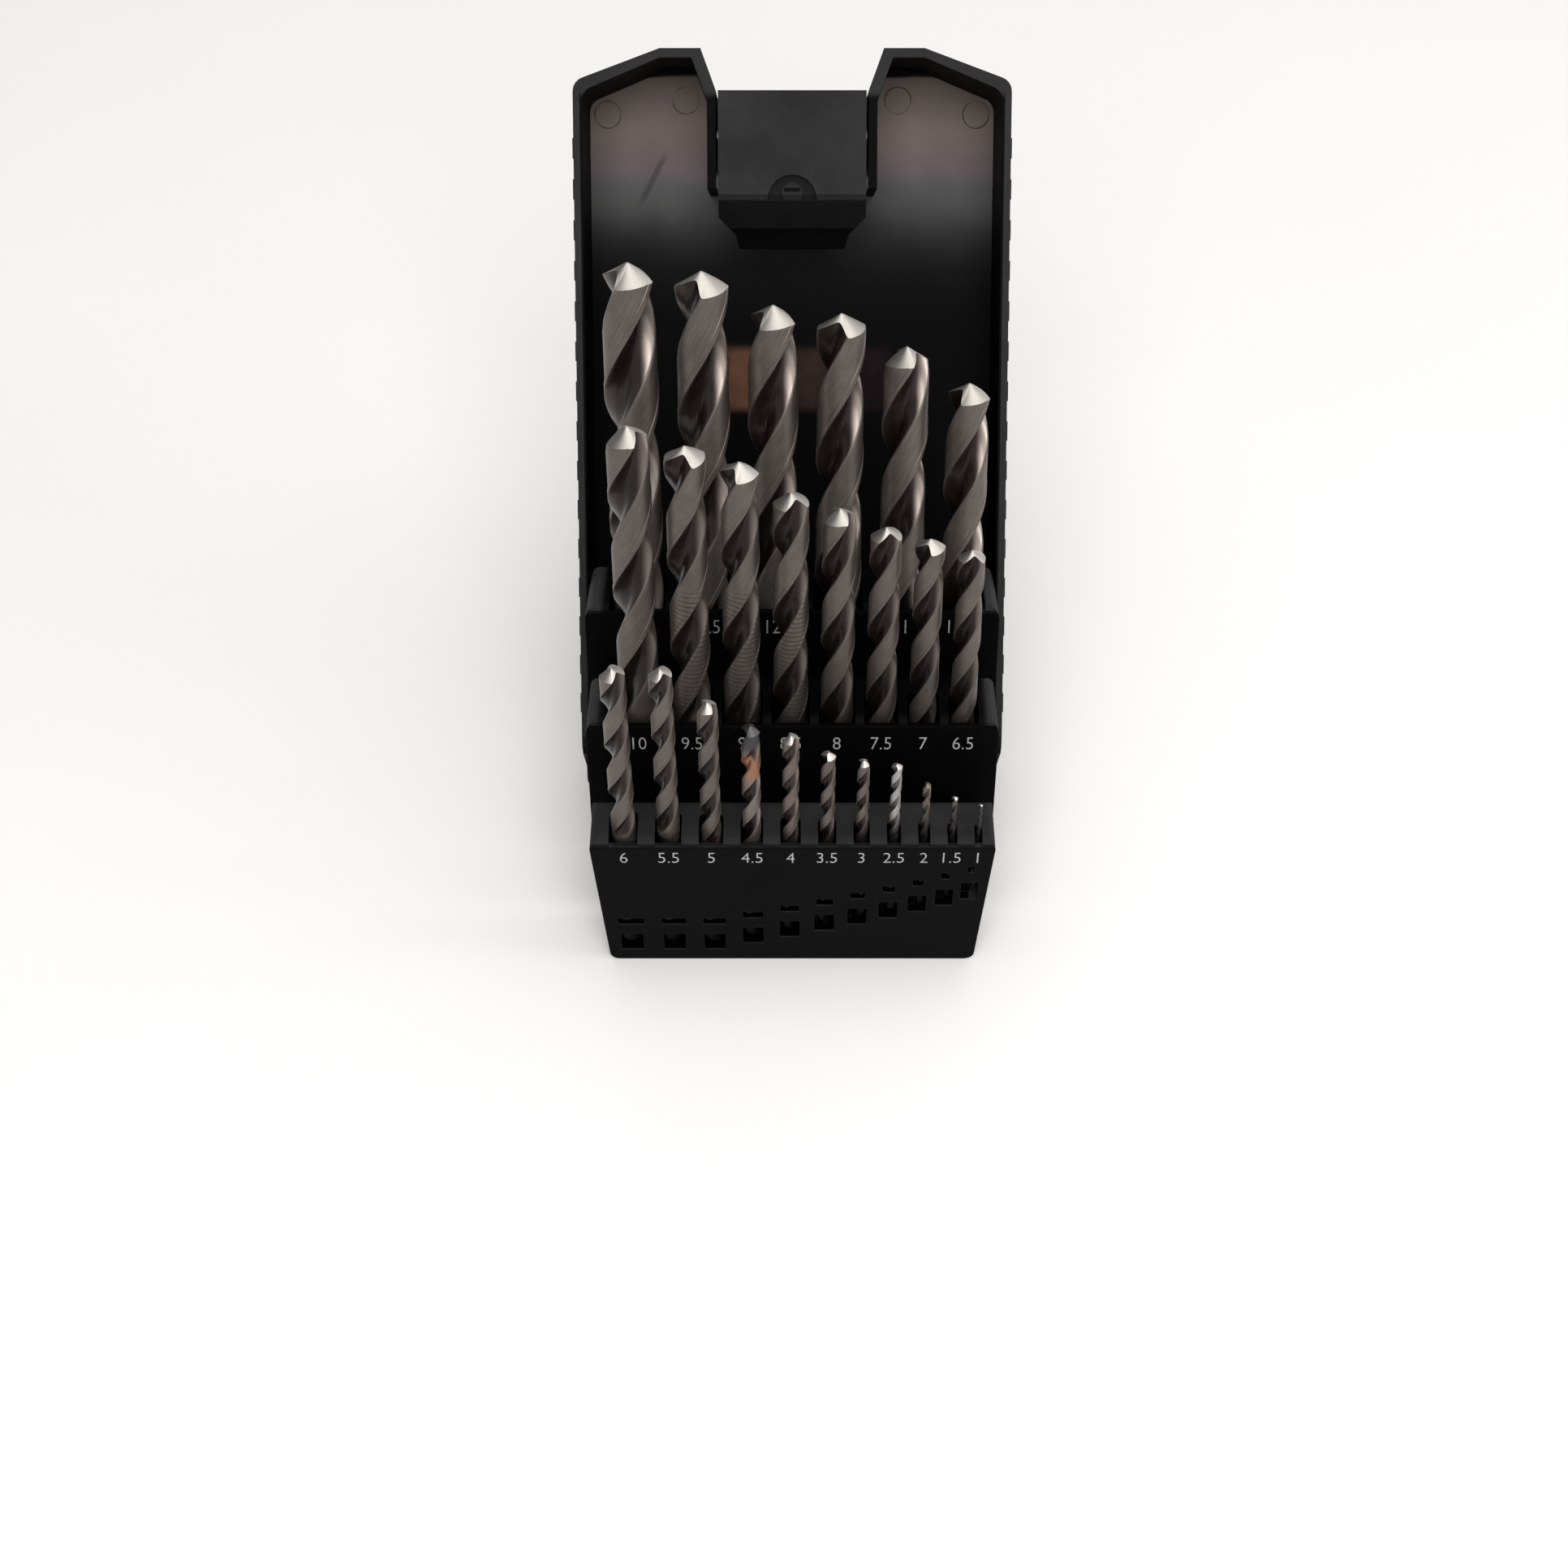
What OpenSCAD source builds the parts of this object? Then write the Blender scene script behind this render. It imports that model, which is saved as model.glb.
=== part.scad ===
/* [Lid shell] */
// Outer width of the lid across its side walls
lid_w = 107; // [104:0.5:116]
// Length of the lid from its lower rim end to the top of its ears
lid_len = 175; // [160:1:200]
// Depth of the lid tray, rim to back face
lid_depth = 28; // [24:1:34]
// Wall of the lid
lid_wall = 2.2; // [1.6:0.1:2.8]
// How far the open lid leans back from upright, in degrees
lid_lean = 39; // [30:1:45]
// Width of the notch between the ears
notch_w = 37.2; // [30:0.2:44]
// Depth of the notch below the top of the ears
notch_drop = 31; // [24:1:40]
// Height of one grip pad on the side wall
pad_len = 4.8; // [3:0.2:6]
// Distance from one grip pad to the next
pad_pitch = 9.8; // [8:0.2:14]
// How far a grip pad stands off the side wall
pad_h = 0.4; // [0.2:0.1:0.8]

/* [Racks] */
// Gap between the rear rack's end and the lid's side wall
rack_gap = 0.6; // [0.4:0.1:1]
// How much narrower the middle rack is than the rear one, at each end
middle_in = 1.2; // [0.4:0.1:3]
// How much narrower the front rack's top is than the middle rack, at each end
front_in = 1.5; // [0:0.1:3]
// How much narrower the front rack is at its foot
front_taper = 5.4; // [0:0.2:8]
// Height of the front rack
front_h = 45; // [40:1:50]
// Thickness of the front rack
front_t = 14; // [12:0.5:15]
// Height of the middle rack's top above its axle
middle_h = 49.3; // [44:0.1:54]
// Thickness of the middle rack
middle_t = 18.2; // [17.6:0.1:18.8]
// How far the middle rack leans back when open, in degrees
middle_lean = 9; // [6:0.5:11]
// Height of the rear rack's top above its axle
rear_h = 57.4; // [52:0.2:62]
// Thickness of the rear rack
rear_t = 22; // [21:0.2:22.8]
// How far the rear rack leans back when open, in degrees
rear_lean = 16.5; // [14:0.5:20]
// Edge radius on the racks
edge_r = 2.5; // [1.5:0.25:3.5]
// Radius of the top outer corners of the two swinging racks
corner_r = 4.2; // [2.5:0.1:4.6]

/* [Pockets] */
// Play of a bit in its pocket, on the diameter
play = 0.8; // [0.5:0.1:1.2]
// Plastic kept at each end of the front rack, beside its outer webs
front_end = 1.8; // [1.4:0.1:4]
// The same on the middle rack
middle_end = 5.1; // [3:0.1:6]
// The same on the rear rack
rear_end = 3.15; // [2:0.05:5]
// Floor left under the deepest pockets
floor_t = 3; // [2:0.5:5]
// Wall left in front of a pocket
front_wall = 1.5; // [1:0.1:2]
// Radius of a pocket's back corners
pocket_r = 1.4; // [0.6:0.1:1.8]

/* [Hinges] */
// Diameter of the axles
axle_d = 3; // [2.6:0.1:3.4]
// Running clearance around an axle, on the radius
run = 0.08; // [0.05:0.01:0.1]
// Height of both axles above the table
axle_z = 8; // [7:0.5:9]
// Distance from the front rack's face to the middle rack's axle
middle_axle_y = 34.1; // [33:0.1:34.6]
// Distance from the front rack's face to the rear axle
rear_axle_y = 58.3; // [57.8:0.1:59.5]
// Thickness of the base plate
base_t = 2.2; // [1.6:0.1:2.4]
// Thickness of one axle lug on the base
lug_t = 3.2; // [2.4:0.2:3.6]

/* [Latch] */
// Width of the latch
latch_w = 36.2; // [29:0.2:43]
// Height of the latch's flat face
latch_face = 26; // [20:1:30]
// Depth of the latch, face to back
latch_deep = 25; // [20:1:26]
// Wall of the latch
latch_wall = 2; // [1.4:0.1:2.6]
// Diameter of the latch pin
latch_pin_d = 3; // [2:0.5:4]
// Width of the thumb recess in the latch
thumb_w = 12; // [9:0.5:15]

/* [Hidden] */

$fn = 48;
// The origin is the middle of the footprint: the front rack's face lies this far in front of it
front_y = -30;

// Bits of each rack, left to right, and their overall lengths
rear_bits = [13, 12.5, 12, 11.5, 11, 10.5];
rear_lengths = [143, 141, 133, 131, 123, 114];
middle_bits = [10, 9.5, 9, 8.5, 8, 7.5, 7, 6.5];
middle_lengths = [128, 123, 119, 111, 107, 102, 99, 96];
front_bits = [6, 5.5, 5, 4.5, 4, 3.5, 3, 2.5, 2, 1.5, 1];
front_lengths = [94.5, 94.5, 84, 74, 68.5, 60.5, 55.5, 52, 43, 36, 31];

// How far each bit is turned in its pocket, in degrees: no two stand alike
rear_turns = [49, 57, 37, 64, 166, 59];
middle_turns = [61, 145, 94, 5, 26, 137, 42, 47];
front_turns = [20, 87, 154, 41, 108, 175, 62, 129, 16, 83, 150];

// The racks' widths step in from the lid's inside
rear_w = lid_w - 2 * lid_wall - 2 * rack_gap;
middle_w = rear_w - 2 * middle_in;
front_w = middle_w - 2 * front_in;

// Plastic between two neighbouring pockets: what the pockets and the ends leave, shared out
function pockets_sum(bits, n) = n <= 0 ? 0 : pockets_sum(bits, n - 1) + bits[n - 1] + play;
function web_of(bits, width, end) = (width - 2 * end - pockets_sum(bits, len(bits))) / len(bits);
rear_web = web_of(rear_bits, rear_w, rear_end);
middle_web = web_of(middle_bits, middle_w, middle_end);
front_web = web_of(front_bits, front_w, front_end);

// Running sum of the pocket widths: the middle of pocket i, with the whole row centred on x = 0
function cell(bits, web, i) = bits[i] + play + web;
function row_sum(bits, web, n) = n <= 0 ? 0 : row_sum(bits, web, n - 1) + cell(bits, web, n - 1);
function row_len(bits, web) = row_sum(bits, web, len(bits));
function pocket_x(bits, web, i) =
    row_sum(bits, web, i) + cell(bits, web, i) / 2 - row_len(bits, web) / 2;

front_shift = 0.7;
middle_shift = 1.25;
rear_shift = 1.2;

// Window sills and pocket floors of the front rack climb in even steps past the third pocket
sill_start = 3.8;
sill_step = 2.5;
// Each window stands a little off its pocket's middle, less and less from left to right
window_lead = 0.6;
window_drift = 0.19;
function climb(i) = max(0, i - 2);
function sill(i) = sill_start + sill_step * climb(i);

axle_hole_d = axle_d + 2 * run;
foot_drop = 5;          // from an axle down to the foot of its rack
foot_in = 2.5;          // bevel along the foot of a swinging rack
axle_cover = 2.6;       // from an axle's middle to the back face of its rack
lug_w = axle_d + 5;
lug_inset = 0.6;        // how far a lug's outer face lies inside the end of its rack
lug_gap = 0.5;          // play between a rack and a lug

// ---- frames of reference ------------------------------------------------------------

module at_front() { translate([0, front_y, 0]) children(); }
module at_middle() {
    translate([0, front_y + middle_axle_y, axle_z]) rotate([-middle_lean, 0, 0]) children();
}
module at_rear() {
    translate([0, front_y + rear_axle_y, axle_z]) rotate([-rear_lean, 0, 0]) children();
}

// Lid frame: x across, y from the rim plane back to the panel, z up along the lid, zero at the
// lower end of the rim. The rear axle passes through the lid at (lid_axle_back, lid_axle_up).
lid_axle_back = 19;
lid_axle_up = -3.9;
module at_lid() {
    translate([0, front_y + rear_axle_y, axle_z]) rotate([-lid_lean, 0, 0])
        translate([0, -lid_axle_back, -lid_axle_up]) children();
}

// ---- shared shapes --------------------------------------------------------------------

// Extrudes a side outline drawn as (depth, height) across a width centred on x = 0
module across(width) {
    translate([-width / 2, 0, 0]) rotate([90, 0, 90]) linear_extrude(width) children();
}

// Quarter-round points about (cx, cy) from angle a to angle b
function arc(cx, cy, r, a, b, n = 5) =
    [for (k = [0:n]) let (t = a + (b - a) * k / n) [cx + r * cos(t), cy + r * sin(t)]];

// Side outline of a rack body: rounded along its top edges, drawn in at the foot
module rack_side(front, back, top, foot, foot_in) {
    polygon(concat(
        [[front, foot + foot_in], [front + foot_in / 2, foot], [back - foot_in, foot],
         [back, foot + foot_in]],
        arc(back - edge_r, top - edge_r, edge_r, 0, 90),
        arc(front + edge_r, top - edge_r, edge_r, 90, 180)));
}

// Front outline of a rack body, with rounded corners
module rack_face(top_w, foot_w, foot, top, top_r) {
    a = top_w / 2;
    b = foot_w / 2;
    r = edge_r;
    c = top_r;
    polygon(concat(
        arc(b - r, foot + r, r, -90, 0), arc(a - c, top - c, c, 0, 90),
        arc(-a + c, top - c, c, 90, 180), arc(-b + r, foot + r, r, 180, 270)));
}

// One pocket: a slot, round in its back corners, that opens at the top and notches the rounded
// front edge
module pocket(d, x, front, top, floor_z, deep, notch) {
    w = d + play;
    r = min(pocket_r, 0.4 * w);
    translate([x, front + front_wall, floor_z]) linear_extrude(top - floor_z + 1)
        polygon(concat([[-w / 2, 0], [w / 2, 0]], arc(w / 2 - r, deep - r, r, 0, 90, 3),
            arc(r - w / 2, deep - r, r, 90, 180, 3)));
    translate([x - w / 2, front - 1, top - notch])
        cube([w, deep / 2 + 1, notch + 1]);
}

// Notches at the back of a rack's lower end corners, which take the axle lugs of the base
module lug_notches(width) {
    inner = width / 2 - lug_inset - lug_t - lug_gap;
    for (side = [-1, 1])
        translate([side > 0 ? inner : -inner - 20, -lug_w / 2 - lug_gap, -foot_drop - 1])
            cube([20, lug_w + axle_cover, foot_drop + lug_w / 2 + lug_gap + 1]);
}

// ---- racks ----------------------------------------------------------------------------

function pocket_deep(d) = d + play + 2.6 * (1 - d / 16);

module front_rack() {
    color([0.07, 0.07, 0.075])
    at_front() difference() {
        intersection() {
            across(front_w + 2) rack_side(0, front_t, front_h, 0, 0.01);
            translate([0, front_t + 1, 0]) rotate([90, 0, 0]) linear_extrude(front_t + 2)
                rack_face(front_w, front_w - front_taper, 0, front_h, edge_r);
        }
        for (i = [0:len(front_bits) - 1]) {
            d = front_bits[i];
            x = pocket_x(front_bits, front_web, i) + front_shift;
            pocket(d, x, 0, front_h, sill(i), pocket_deep(d), 1.6);
            front_windows(d, x + window_lead - window_drift * i, sill(i));
        }
        base_tongue(0.15);
        for (side = [-1, 1]) base_screw_at(side) screw_bore();
    }
}

// The two windows that a pocket shows through: a square one and a slit above it
module front_windows(d, x, z) {
    square_w = 3.9 + 0.28 * d;
    translate([x - square_w / 2, -1, z]) cube([square_w, front_wall + 2, 6.3]);
    slit_w = d + 0.6;
    translate([x - slit_w / 2, -1, z + 10]) cube([slit_w, front_wall + 2, 2.4]);
}

module middle_rack() {
    front = axle_cover - middle_t;
    color([0.07, 0.07, 0.075])
    at_middle() difference() {
        swing_rack(middle_w, middle_t, middle_h);
        for (i = [0:len(middle_bits) - 1]) {
            d = middle_bits[i];
            pocket(d, pocket_x(middle_bits, middle_web, i) + middle_shift, front, middle_h,
                   bit_floor, pocket_deep(d), 2);
        }
    }
}

module rear_rack() {
    front = axle_cover - rear_t;
    color([0.07, 0.07, 0.075])
    at_rear() difference() {
        swing_rack(rear_w, rear_t, rear_h);
        for (i = [0:len(rear_bits) - 1]) {
            d = rear_bits[i];
            pocket(d, pocket_x(rear_bits, rear_web, i) + rear_shift, front, rear_h,
                   bit_floor, pocket_deep(d), 2);
        }
    }
}

// Floor of the swinging racks' pockets, below the level of the axle that runs behind them
bit_floor = floor_t - foot_drop;

// Body of a rack that swings on an axle: bored through, and notched for the lugs
module swing_rack(width, thick, top) {
    difference() {
        intersection() {
            across(width + 2)
                rack_side(axle_cover - thick, axle_cover, top, -foot_drop, foot_in);
            translate([0, thick, 0]) rotate([90, 0, 0]) linear_extrude(2 * thick)
                rack_face(width, width, -foot_drop, top, corner_r);
        }
        rotate([0, 90, 0]) cylinder(d = axle_hole_d, h = width + 2, center = true);
        lug_notches(width);
    }
}

// ---- base -----------------------------------------------------------------------------

tongue_w = front_w - front_taper - 2;
base_w = rear_w - 2 * lug_inset;
base_back = rear_axle_y + 1.5;      // stops short of the open lid's heel
tongue_from = 5;

// The tongue of the base plate that reaches under the front rack
module base_tongue(gap) {
    translate([-tongue_w / 2 - gap, tongue_from - gap, -1])
        cube([tongue_w + 2 * gap, front_t, base_t + gap + 1]);
}

// Two lugs that hold an axle at the ends of a rack of the given width
module base_lugs(width, y, back) {
    outer = width / 2 - lug_inset;
    for (side = [-1, 1])
        translate([side > 0 ? outer - lug_t : -outer, y, 0]) difference() {
            union() {
                translate([0, -lug_w / 2, 0]) cube([lug_t, lug_w / 2 + back, axle_z]);
                translate([0, 0, axle_z]) rotate([0, 90, 0]) cylinder(d = lug_w, h = lug_t);
            }
            translate([-1, 0, axle_z]) rotate([0, 90, 0]) cylinder(d = axle_d, h = lug_t + 2);
        }
}

module base_frame() {
    plate_from = front_t + 1;
    window_from = middle_axle_y + lug_w / 2 + 1;
    color([0.09, 0.09, 0.095])
    at_front() difference() {
        union() {
            translate([-tongue_w / 2, tongue_from, 0])
                cube([tongue_w, plate_from - tongue_from + 2, base_t]);
            translate([-base_w / 2, plate_from, 0])
                cube([base_w, base_back - plate_from, base_t]);
            base_lugs(middle_w, middle_axle_y, lug_w / 2);
            base_lugs(rear_w, rear_axle_y, 1.5);
        }
        for (side = [-1, 1]) base_screw_at(side) {
            translate([0, 0, -1]) cylinder(d = screw_d, h = base_t + 2);
            translate([0, 0, -1]) cylinder(d = screw_head_d, h = screw_head_h + 1);
        }
        // lightening windows between the axles
        for (k = [-1, 0, 1])
            translate([k * tongue_w / 3 - tongue_w / 9, window_from, -1])
                cube([tongue_w * 2 / 9, rear_axle_y - lug_w / 2 - 1 - window_from, base_t + 2]);
    }
}

screw_d = 2.6;
screw_head_d = 5;
screw_head_h = 1.1;
screw_len = 7;
module base_screw_at(side) {
    x = (pocket_x(front_bits, front_web, side < 0 ? 1 : 8)
         + pocket_x(front_bits, front_web, side < 0 ? 2 : 9)) / 2 + front_shift;
    translate([x, front_t - 3.2, 0]) children();
}
module screw_bore() { translate([0, 0, -1]) cylinder(d = screw_d, h = screw_len + 1.5); }
module base_screws() {
    color([0.6, 0.6, 0.62])
    at_front() for (side = [-1, 1]) base_screw_at(side) difference() {
        union() {
            translate([0, 0, 0.1]) cylinder(d = screw_head_d - 0.1, h = screw_head_h - 0.1);
            cylinder(d = screw_d, h = screw_len);
        }
        translate([0, 0, -0.5]) cylinder(d = 2, h = 1.2, $fn = 6);
    }
}

module middle_axle() {
    color([0.65, 0.65, 0.67])
    translate([0, front_y + middle_axle_y, axle_z]) rotate([0, 90, 0])
        cylinder(d = axle_d, h = middle_w - 2 * lug_inset, center = true);
}
module rear_axle() {
    color([0.65, 0.65, 0.67])
    translate([0, front_y + rear_axle_y, axle_z]) rotate([0, 90, 0])
        cylinder(d = axle_d, h = lid_w - 0.4, center = true);
}

// ---- lid ------------------------------------------------------------------------------

shoulder_x = 32.2;      // where an ear's level top ends
ear_slope = 7;          // fall of the ear from its level top to the lid's side
ear_cut = 3.7;          // run of the slanted corner beside the notch
ear_cut_drop = 10;
ear_r = 3.5;            // radius of the ear's outer corner
foot_len = 9;           // how far the lid's panel reaches below the end of its rim

// Half outline of the lid seen from the front, drawn in by a wall's thickness; its lower end is
// run on by `down`, so that the tray drawn with it is open there
function lid_half(in, down = 0) =
    let (a = lid_w / 2 - in, t = lid_len - in, n = notch_w / 2 + in, s = ear_slope)
    concat([[0, -foot_len - down], [a, -foot_len - down]],
        arc(a - ear_r, t - s - ear_r + 0.3, ear_r, 0, 75, 4),
        [[shoulder_x, t], [n + ear_cut, t], [n, t - ear_cut_drop],
         [n, lid_len - notch_drop - in], [0, lid_len - notch_drop - in]]);

module lid_face(in, down = 0) {
    polygon(lid_half(in, down));
    mirror([1, 0]) polygon(lid_half(in, down));
}

// What is cut away below the side walls: a quarter round under the rim, a boss about the axle
module wall_ends() {
    a = lid_axle_back;
    low = lid_axle_up - 5.3;
    across(lid_w + 4) polygon([[-1, -40], [-1, 6], [0, 6], [0.7, 3.2], [2.6, 1.2], [5.5, 0],
        [a - 5, lid_axle_up], [a - 4.4, low + 2.4], [a - 2.6, low + 0.6], [a, low],
        [a + 3.5, low], [lid_depth - lid_wall, -foot_len], [lid_depth - lid_wall, -40]]);
}

// Extrudes a front outline back from depth a to depth b
module deep(a, b) { translate([0, b, 0]) rotate([90, 0, 0]) linear_extrude(b - a) children(); }

module lid_shell() {
    panel = lid_depth - lid_wall;
    color([0.06, 0.06, 0.065])
    difference() {
        at_lid() difference() {
            union() {
                deep(0, lid_depth) lid_face(0);
                grip_pads();
            }
            // the tray, open at its lower end, where the rear rack swings in it
            deep(-1, panel) lid_face(lid_wall, 10);
            // the notch is open to the tray, behind the latch
            translate([-notch_w / 2, -1, lid_len - notch_drop - 2 * lid_wall])
                cube([notch_w, panel + 1, notch_drop + 3 * lid_wall]);
            wall_ends();
            translate([0, lid_axle_back, lid_axle_up]) rotate([0, 90, 0])
                cylinder(d = axle_hole_d, h = lid_w + 2, center = true);
            translate([0, latch_back, latch_up]) rotate([0, 90, 0])
                cylinder(d = latch_pin_d, h = notch_w + 4 * lid_wall, center = true);
        }
        // the open lid stands on the flat that the table cuts on its heel
        translate([-lid_w, -150, -60]) cube([2 * lid_w, 300, 60]);
    }
}

module grip_pads() {
    first = 12;
    count = floor((lid_len - ear_slope - first - 8) / pad_pitch);
    for (side = [-1, 1], k = [0:count - 1])
        translate([side * lid_w / 2 - pad_h, 2, first + k * pad_pitch])
            cube([2 * pad_h, lid_depth - 6, pad_len]);
}

// ---- latch ----------------------------------------------------------------------------

latch_top = lid_len - 10;           // top of the latch's face along the lid
latch_proud = 1;                    // how far its face stands in front of the rim
latch_back = 11;                    // pin's distance behind the rim plane
latch_up = latch_top - 10;

thumb_deep = 1.2;                   // depth of the thumb recess
boss_d = 5.2;                       // the round boss in it, and its middle above the edge
boss_up = 1.6;
latch_cheek = 19;                   // height of the cheeks that the pin runs through
slant_in = 3;                       // how far the slanted lip draws in below the face
slant_h = 8;
lip_in = 1;                         // and the narrower lip below it
lip_h = 3.4;
lip_w = latch_w - 8.2;

// Side outline of the latch: flat face, slanted lip below it, and cheeks back over the pin
function latch_outline() =
    let (low = latch_top - latch_face, p = latch_proud, w = latch_wall, back = latch_deep - p)
    [[-p, low], [-p, latch_top], [back, latch_top],
     [back, latch_top - latch_cheek + 4], [back - 4, latch_top - latch_cheek],
     [w - p, latch_top - latch_cheek], [w - p, low + 0.5],
     [w - p + slant_in, low - slant_h + 0.3],
     [w - p + slant_in + lip_in, low - slant_h - lip_h],
     [-p + slant_in + lip_in, low - slant_h - lip_h], [-p + slant_in, low - slant_h]];

// Front outline of the latch: the corners of the lip are cut back
module latch_front() {
    low = latch_top - latch_face;
    h = latch_w / 2;
    g = lip_w / 2;
    polygon([[-h, latch_top], [-h, low - 4], [-g, low - slant_h], [-g + 1, low - slant_h - lip_h],
        [g - 1, low - slant_h - lip_h], [g, low - slant_h], [h, low - 4], [h, latch_top]]);
}

module latch() {
    z = latch_top - latch_face;
    inside = latch_w - 2 * latch_wall;
    color([0.08, 0.08, 0.085])
    at_lid() difference() {
        intersection() {
            across(latch_w) polygon(latch_outline());
            deep(-5, lid_depth) latch_front();
        }
        // the lever is a hollow moulding, open below and at its back
        translate([-inside / 2, latch_wall - latch_proud, z])
            cube([inside, latch_deep + 1, latch_face - latch_wall]);
        // thumb recess above the face's lower edge, round a boss, and the slot through the boss
        translate([0, -latch_proud, z]) intersection() {
            rotate([90, 0, 0]) difference() {
                cylinder(d = thumb_w, h = 2 * thumb_deep, center = true);
                translate([0, boss_up, -2 * thumb_deep]) cylinder(d = boss_d, h = 1.6 * thumb_deep);
            }
            translate([-thumb_w, -thumb_deep - 1, 0]) cube([2 * thumb_w, thumb_deep * 3, thumb_w]);
        }
        translate([-2, -latch_proud - 1, z + boss_up + 0.4]) cube([4, latch_wall + 2, 0.9]);
        translate([0, latch_back, latch_up]) rotate([0, 90, 0])
            cylinder(d = latch_pin_d + 2 * run, h = latch_w + 2, center = true);
    }
}

module latch_pin() {
    color([0.65, 0.65, 0.67])
    at_lid() translate([0, latch_back, latch_up]) rotate([0, 90, 0])
        cylinder(d = latch_pin_d, h = notch_w + 2 * lid_wall - 0.4, center = true);
}

// ---- bits -----------------------------------------------------------------------------

helix = 31;                         // helix angle of the flutes, in degrees
point = 118;                        // point angle
// Half a cross-section as shares of the radius: land, heel, flute and cutting face
half_section = [1, 1, 1, 0.97, 0.42, 0.42];
section = concat(half_section, half_section);

function lead(d) = PI * d / tan(helix);
function fluted(d, l) = l * (0.36 + 0.09 * sqrt(d));
function tip_h(d) = d / 2 / tan(point / 2);

// Radius of section point k at height z of a bit: run out below, cut by the point cone above
function bit_r(d, l, z, k) =
    let (r = d / 2,
         start = l - fluted(d, l),
         blend = min(1, max(0, (z - start) / (0.8 * d))),
         body = r * (1 + blend * (section[k] - 1)) * 0.995)
    min(body, max(0.04 * r, (l - z) * tan(point / 2)));

module fluted_bit(d, l) {
    start = l - fluted(d, l) - 0.5;
    n = len(section);
    top = l - tip_h(d);
    steps = ceil((top - start) / lead(d) * (d < 5 ? 7 : 9));
    heights = concat([for (s = [0:steps]) start + (top - start) * s / steps],
                     [l - 0.6 * tip_h(d), l - 0.25 * tip_h(d), l]);
    rings = len(heights);
    points = [for (z = heights, k = [0:n - 1])
        let (a = 360 * k / n + 360 * z / lead(d), r = bit_r(d, l, z, k))
        [r * cos(a), r * sin(a), z]];
    sides = [for (j = [0:rings - 2], k = [0:n - 1])
        let (a = j * n + k, b = j * n + (k + 1) % n) each [[a, a + n, b], [b, a + n, b + n]]];
    caps = [[for (k = [0:n - 1]) k], [for (k = [n - 1:-1:0]) (rings - 1) * n + k]];
    polyhedron(points, concat(sides, caps));
    cylinder(d = d, h = start + 0.3);
}

module row_bit(bits, lengths, turns, web, shift, i) {
    color([0.5, 0.46, 0.44])
    translate([pocket_x(bits, web, i) + shift, 0, 0]) rotate(turns[i])
        fluted_bit(bits[i], lengths[i]);
}

// A bit stands on its pocket's floor, in the middle of the pocket's depth
module rear_bit(i) {
    at_rear() translate([0, axle_cover - rear_t + front_wall + pocket_deep(rear_bits[i]) / 2, bit_floor])
        row_bit(rear_bits, rear_lengths, rear_turns, rear_web, rear_shift, i);
}
module middle_bit(i) {
    at_middle()
        translate([0, axle_cover - middle_t + front_wall + pocket_deep(middle_bits[i]) / 2, bit_floor])
            row_bit(middle_bits, middle_lengths, middle_turns, middle_web, middle_shift, i);
}
module front_bit(i) {
    at_front() translate([0, front_wall + pocket_deep(front_bits[i]) / 2, sill(i)])
        row_bit(front_bits, front_lengths, front_turns, front_web, front_shift, i);
}

base_frame();
base_screws();
front_rack();
middle_rack();
rear_rack();
middle_axle();
rear_axle();
lid_shell();
latch();
latch_pin();
rear_bit(0);  // bit_13
rear_bit(1);  // bit_12_5
rear_bit(2);  // bit_12
rear_bit(3);  // bit_11_5
rear_bit(4);  // bit_11
rear_bit(5);  // bit_10_5
middle_bit(0);  // bit_10
middle_bit(1);  // bit_9_5
middle_bit(2);  // bit_9
middle_bit(3);  // bit_8_5
middle_bit(4);  // bit_8
middle_bit(5);  // bit_7_5
middle_bit(6);  // bit_7
middle_bit(7);  // bit_6_5
front_bit(0);  // bit_6
front_bit(1);  // bit_5_5
front_bit(2);  // bit_5
front_bit(3);  // bit_4_5
front_bit(4);  // bit_4
front_bit(5);  // bit_3_5
front_bit(6);  // bit_3
front_bit(7);  // bit_2_5
front_bit(8);  // bit_2
front_bit(9);  // bit_1_5
front_bit(10);  // bit_1
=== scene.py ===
# %% [markdown]
# # An open drill bit case, dressed for a studio picture
#
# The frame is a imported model: a lid with its latch, three stepped racks on a base plate, and the
# drill bits that stand in them. This script gives every visible surface its finish, replaces the
# plain bits with finely cut ones, and adds what is too thin for the frame: printed numbers,
# moulding marks and a plain patch of colour. Lengths are in metres, +X is to the right, +Y is
# back towards the lid, +Z is up.

import math

import bpy
import numpy as np
from mathutils import Matrix, Vector


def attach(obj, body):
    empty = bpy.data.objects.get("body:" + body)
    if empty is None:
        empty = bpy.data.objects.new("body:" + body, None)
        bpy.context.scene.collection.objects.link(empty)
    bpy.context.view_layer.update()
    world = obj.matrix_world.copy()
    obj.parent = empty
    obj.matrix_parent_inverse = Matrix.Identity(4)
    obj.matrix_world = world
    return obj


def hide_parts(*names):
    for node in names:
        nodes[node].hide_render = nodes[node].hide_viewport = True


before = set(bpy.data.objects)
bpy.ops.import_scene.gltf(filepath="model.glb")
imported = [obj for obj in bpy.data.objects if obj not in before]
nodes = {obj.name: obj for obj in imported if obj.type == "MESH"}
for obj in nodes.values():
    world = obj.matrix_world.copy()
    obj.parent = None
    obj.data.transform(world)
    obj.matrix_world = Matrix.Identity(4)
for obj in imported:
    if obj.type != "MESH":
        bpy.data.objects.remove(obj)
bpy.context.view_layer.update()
MM = 0.001

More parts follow.
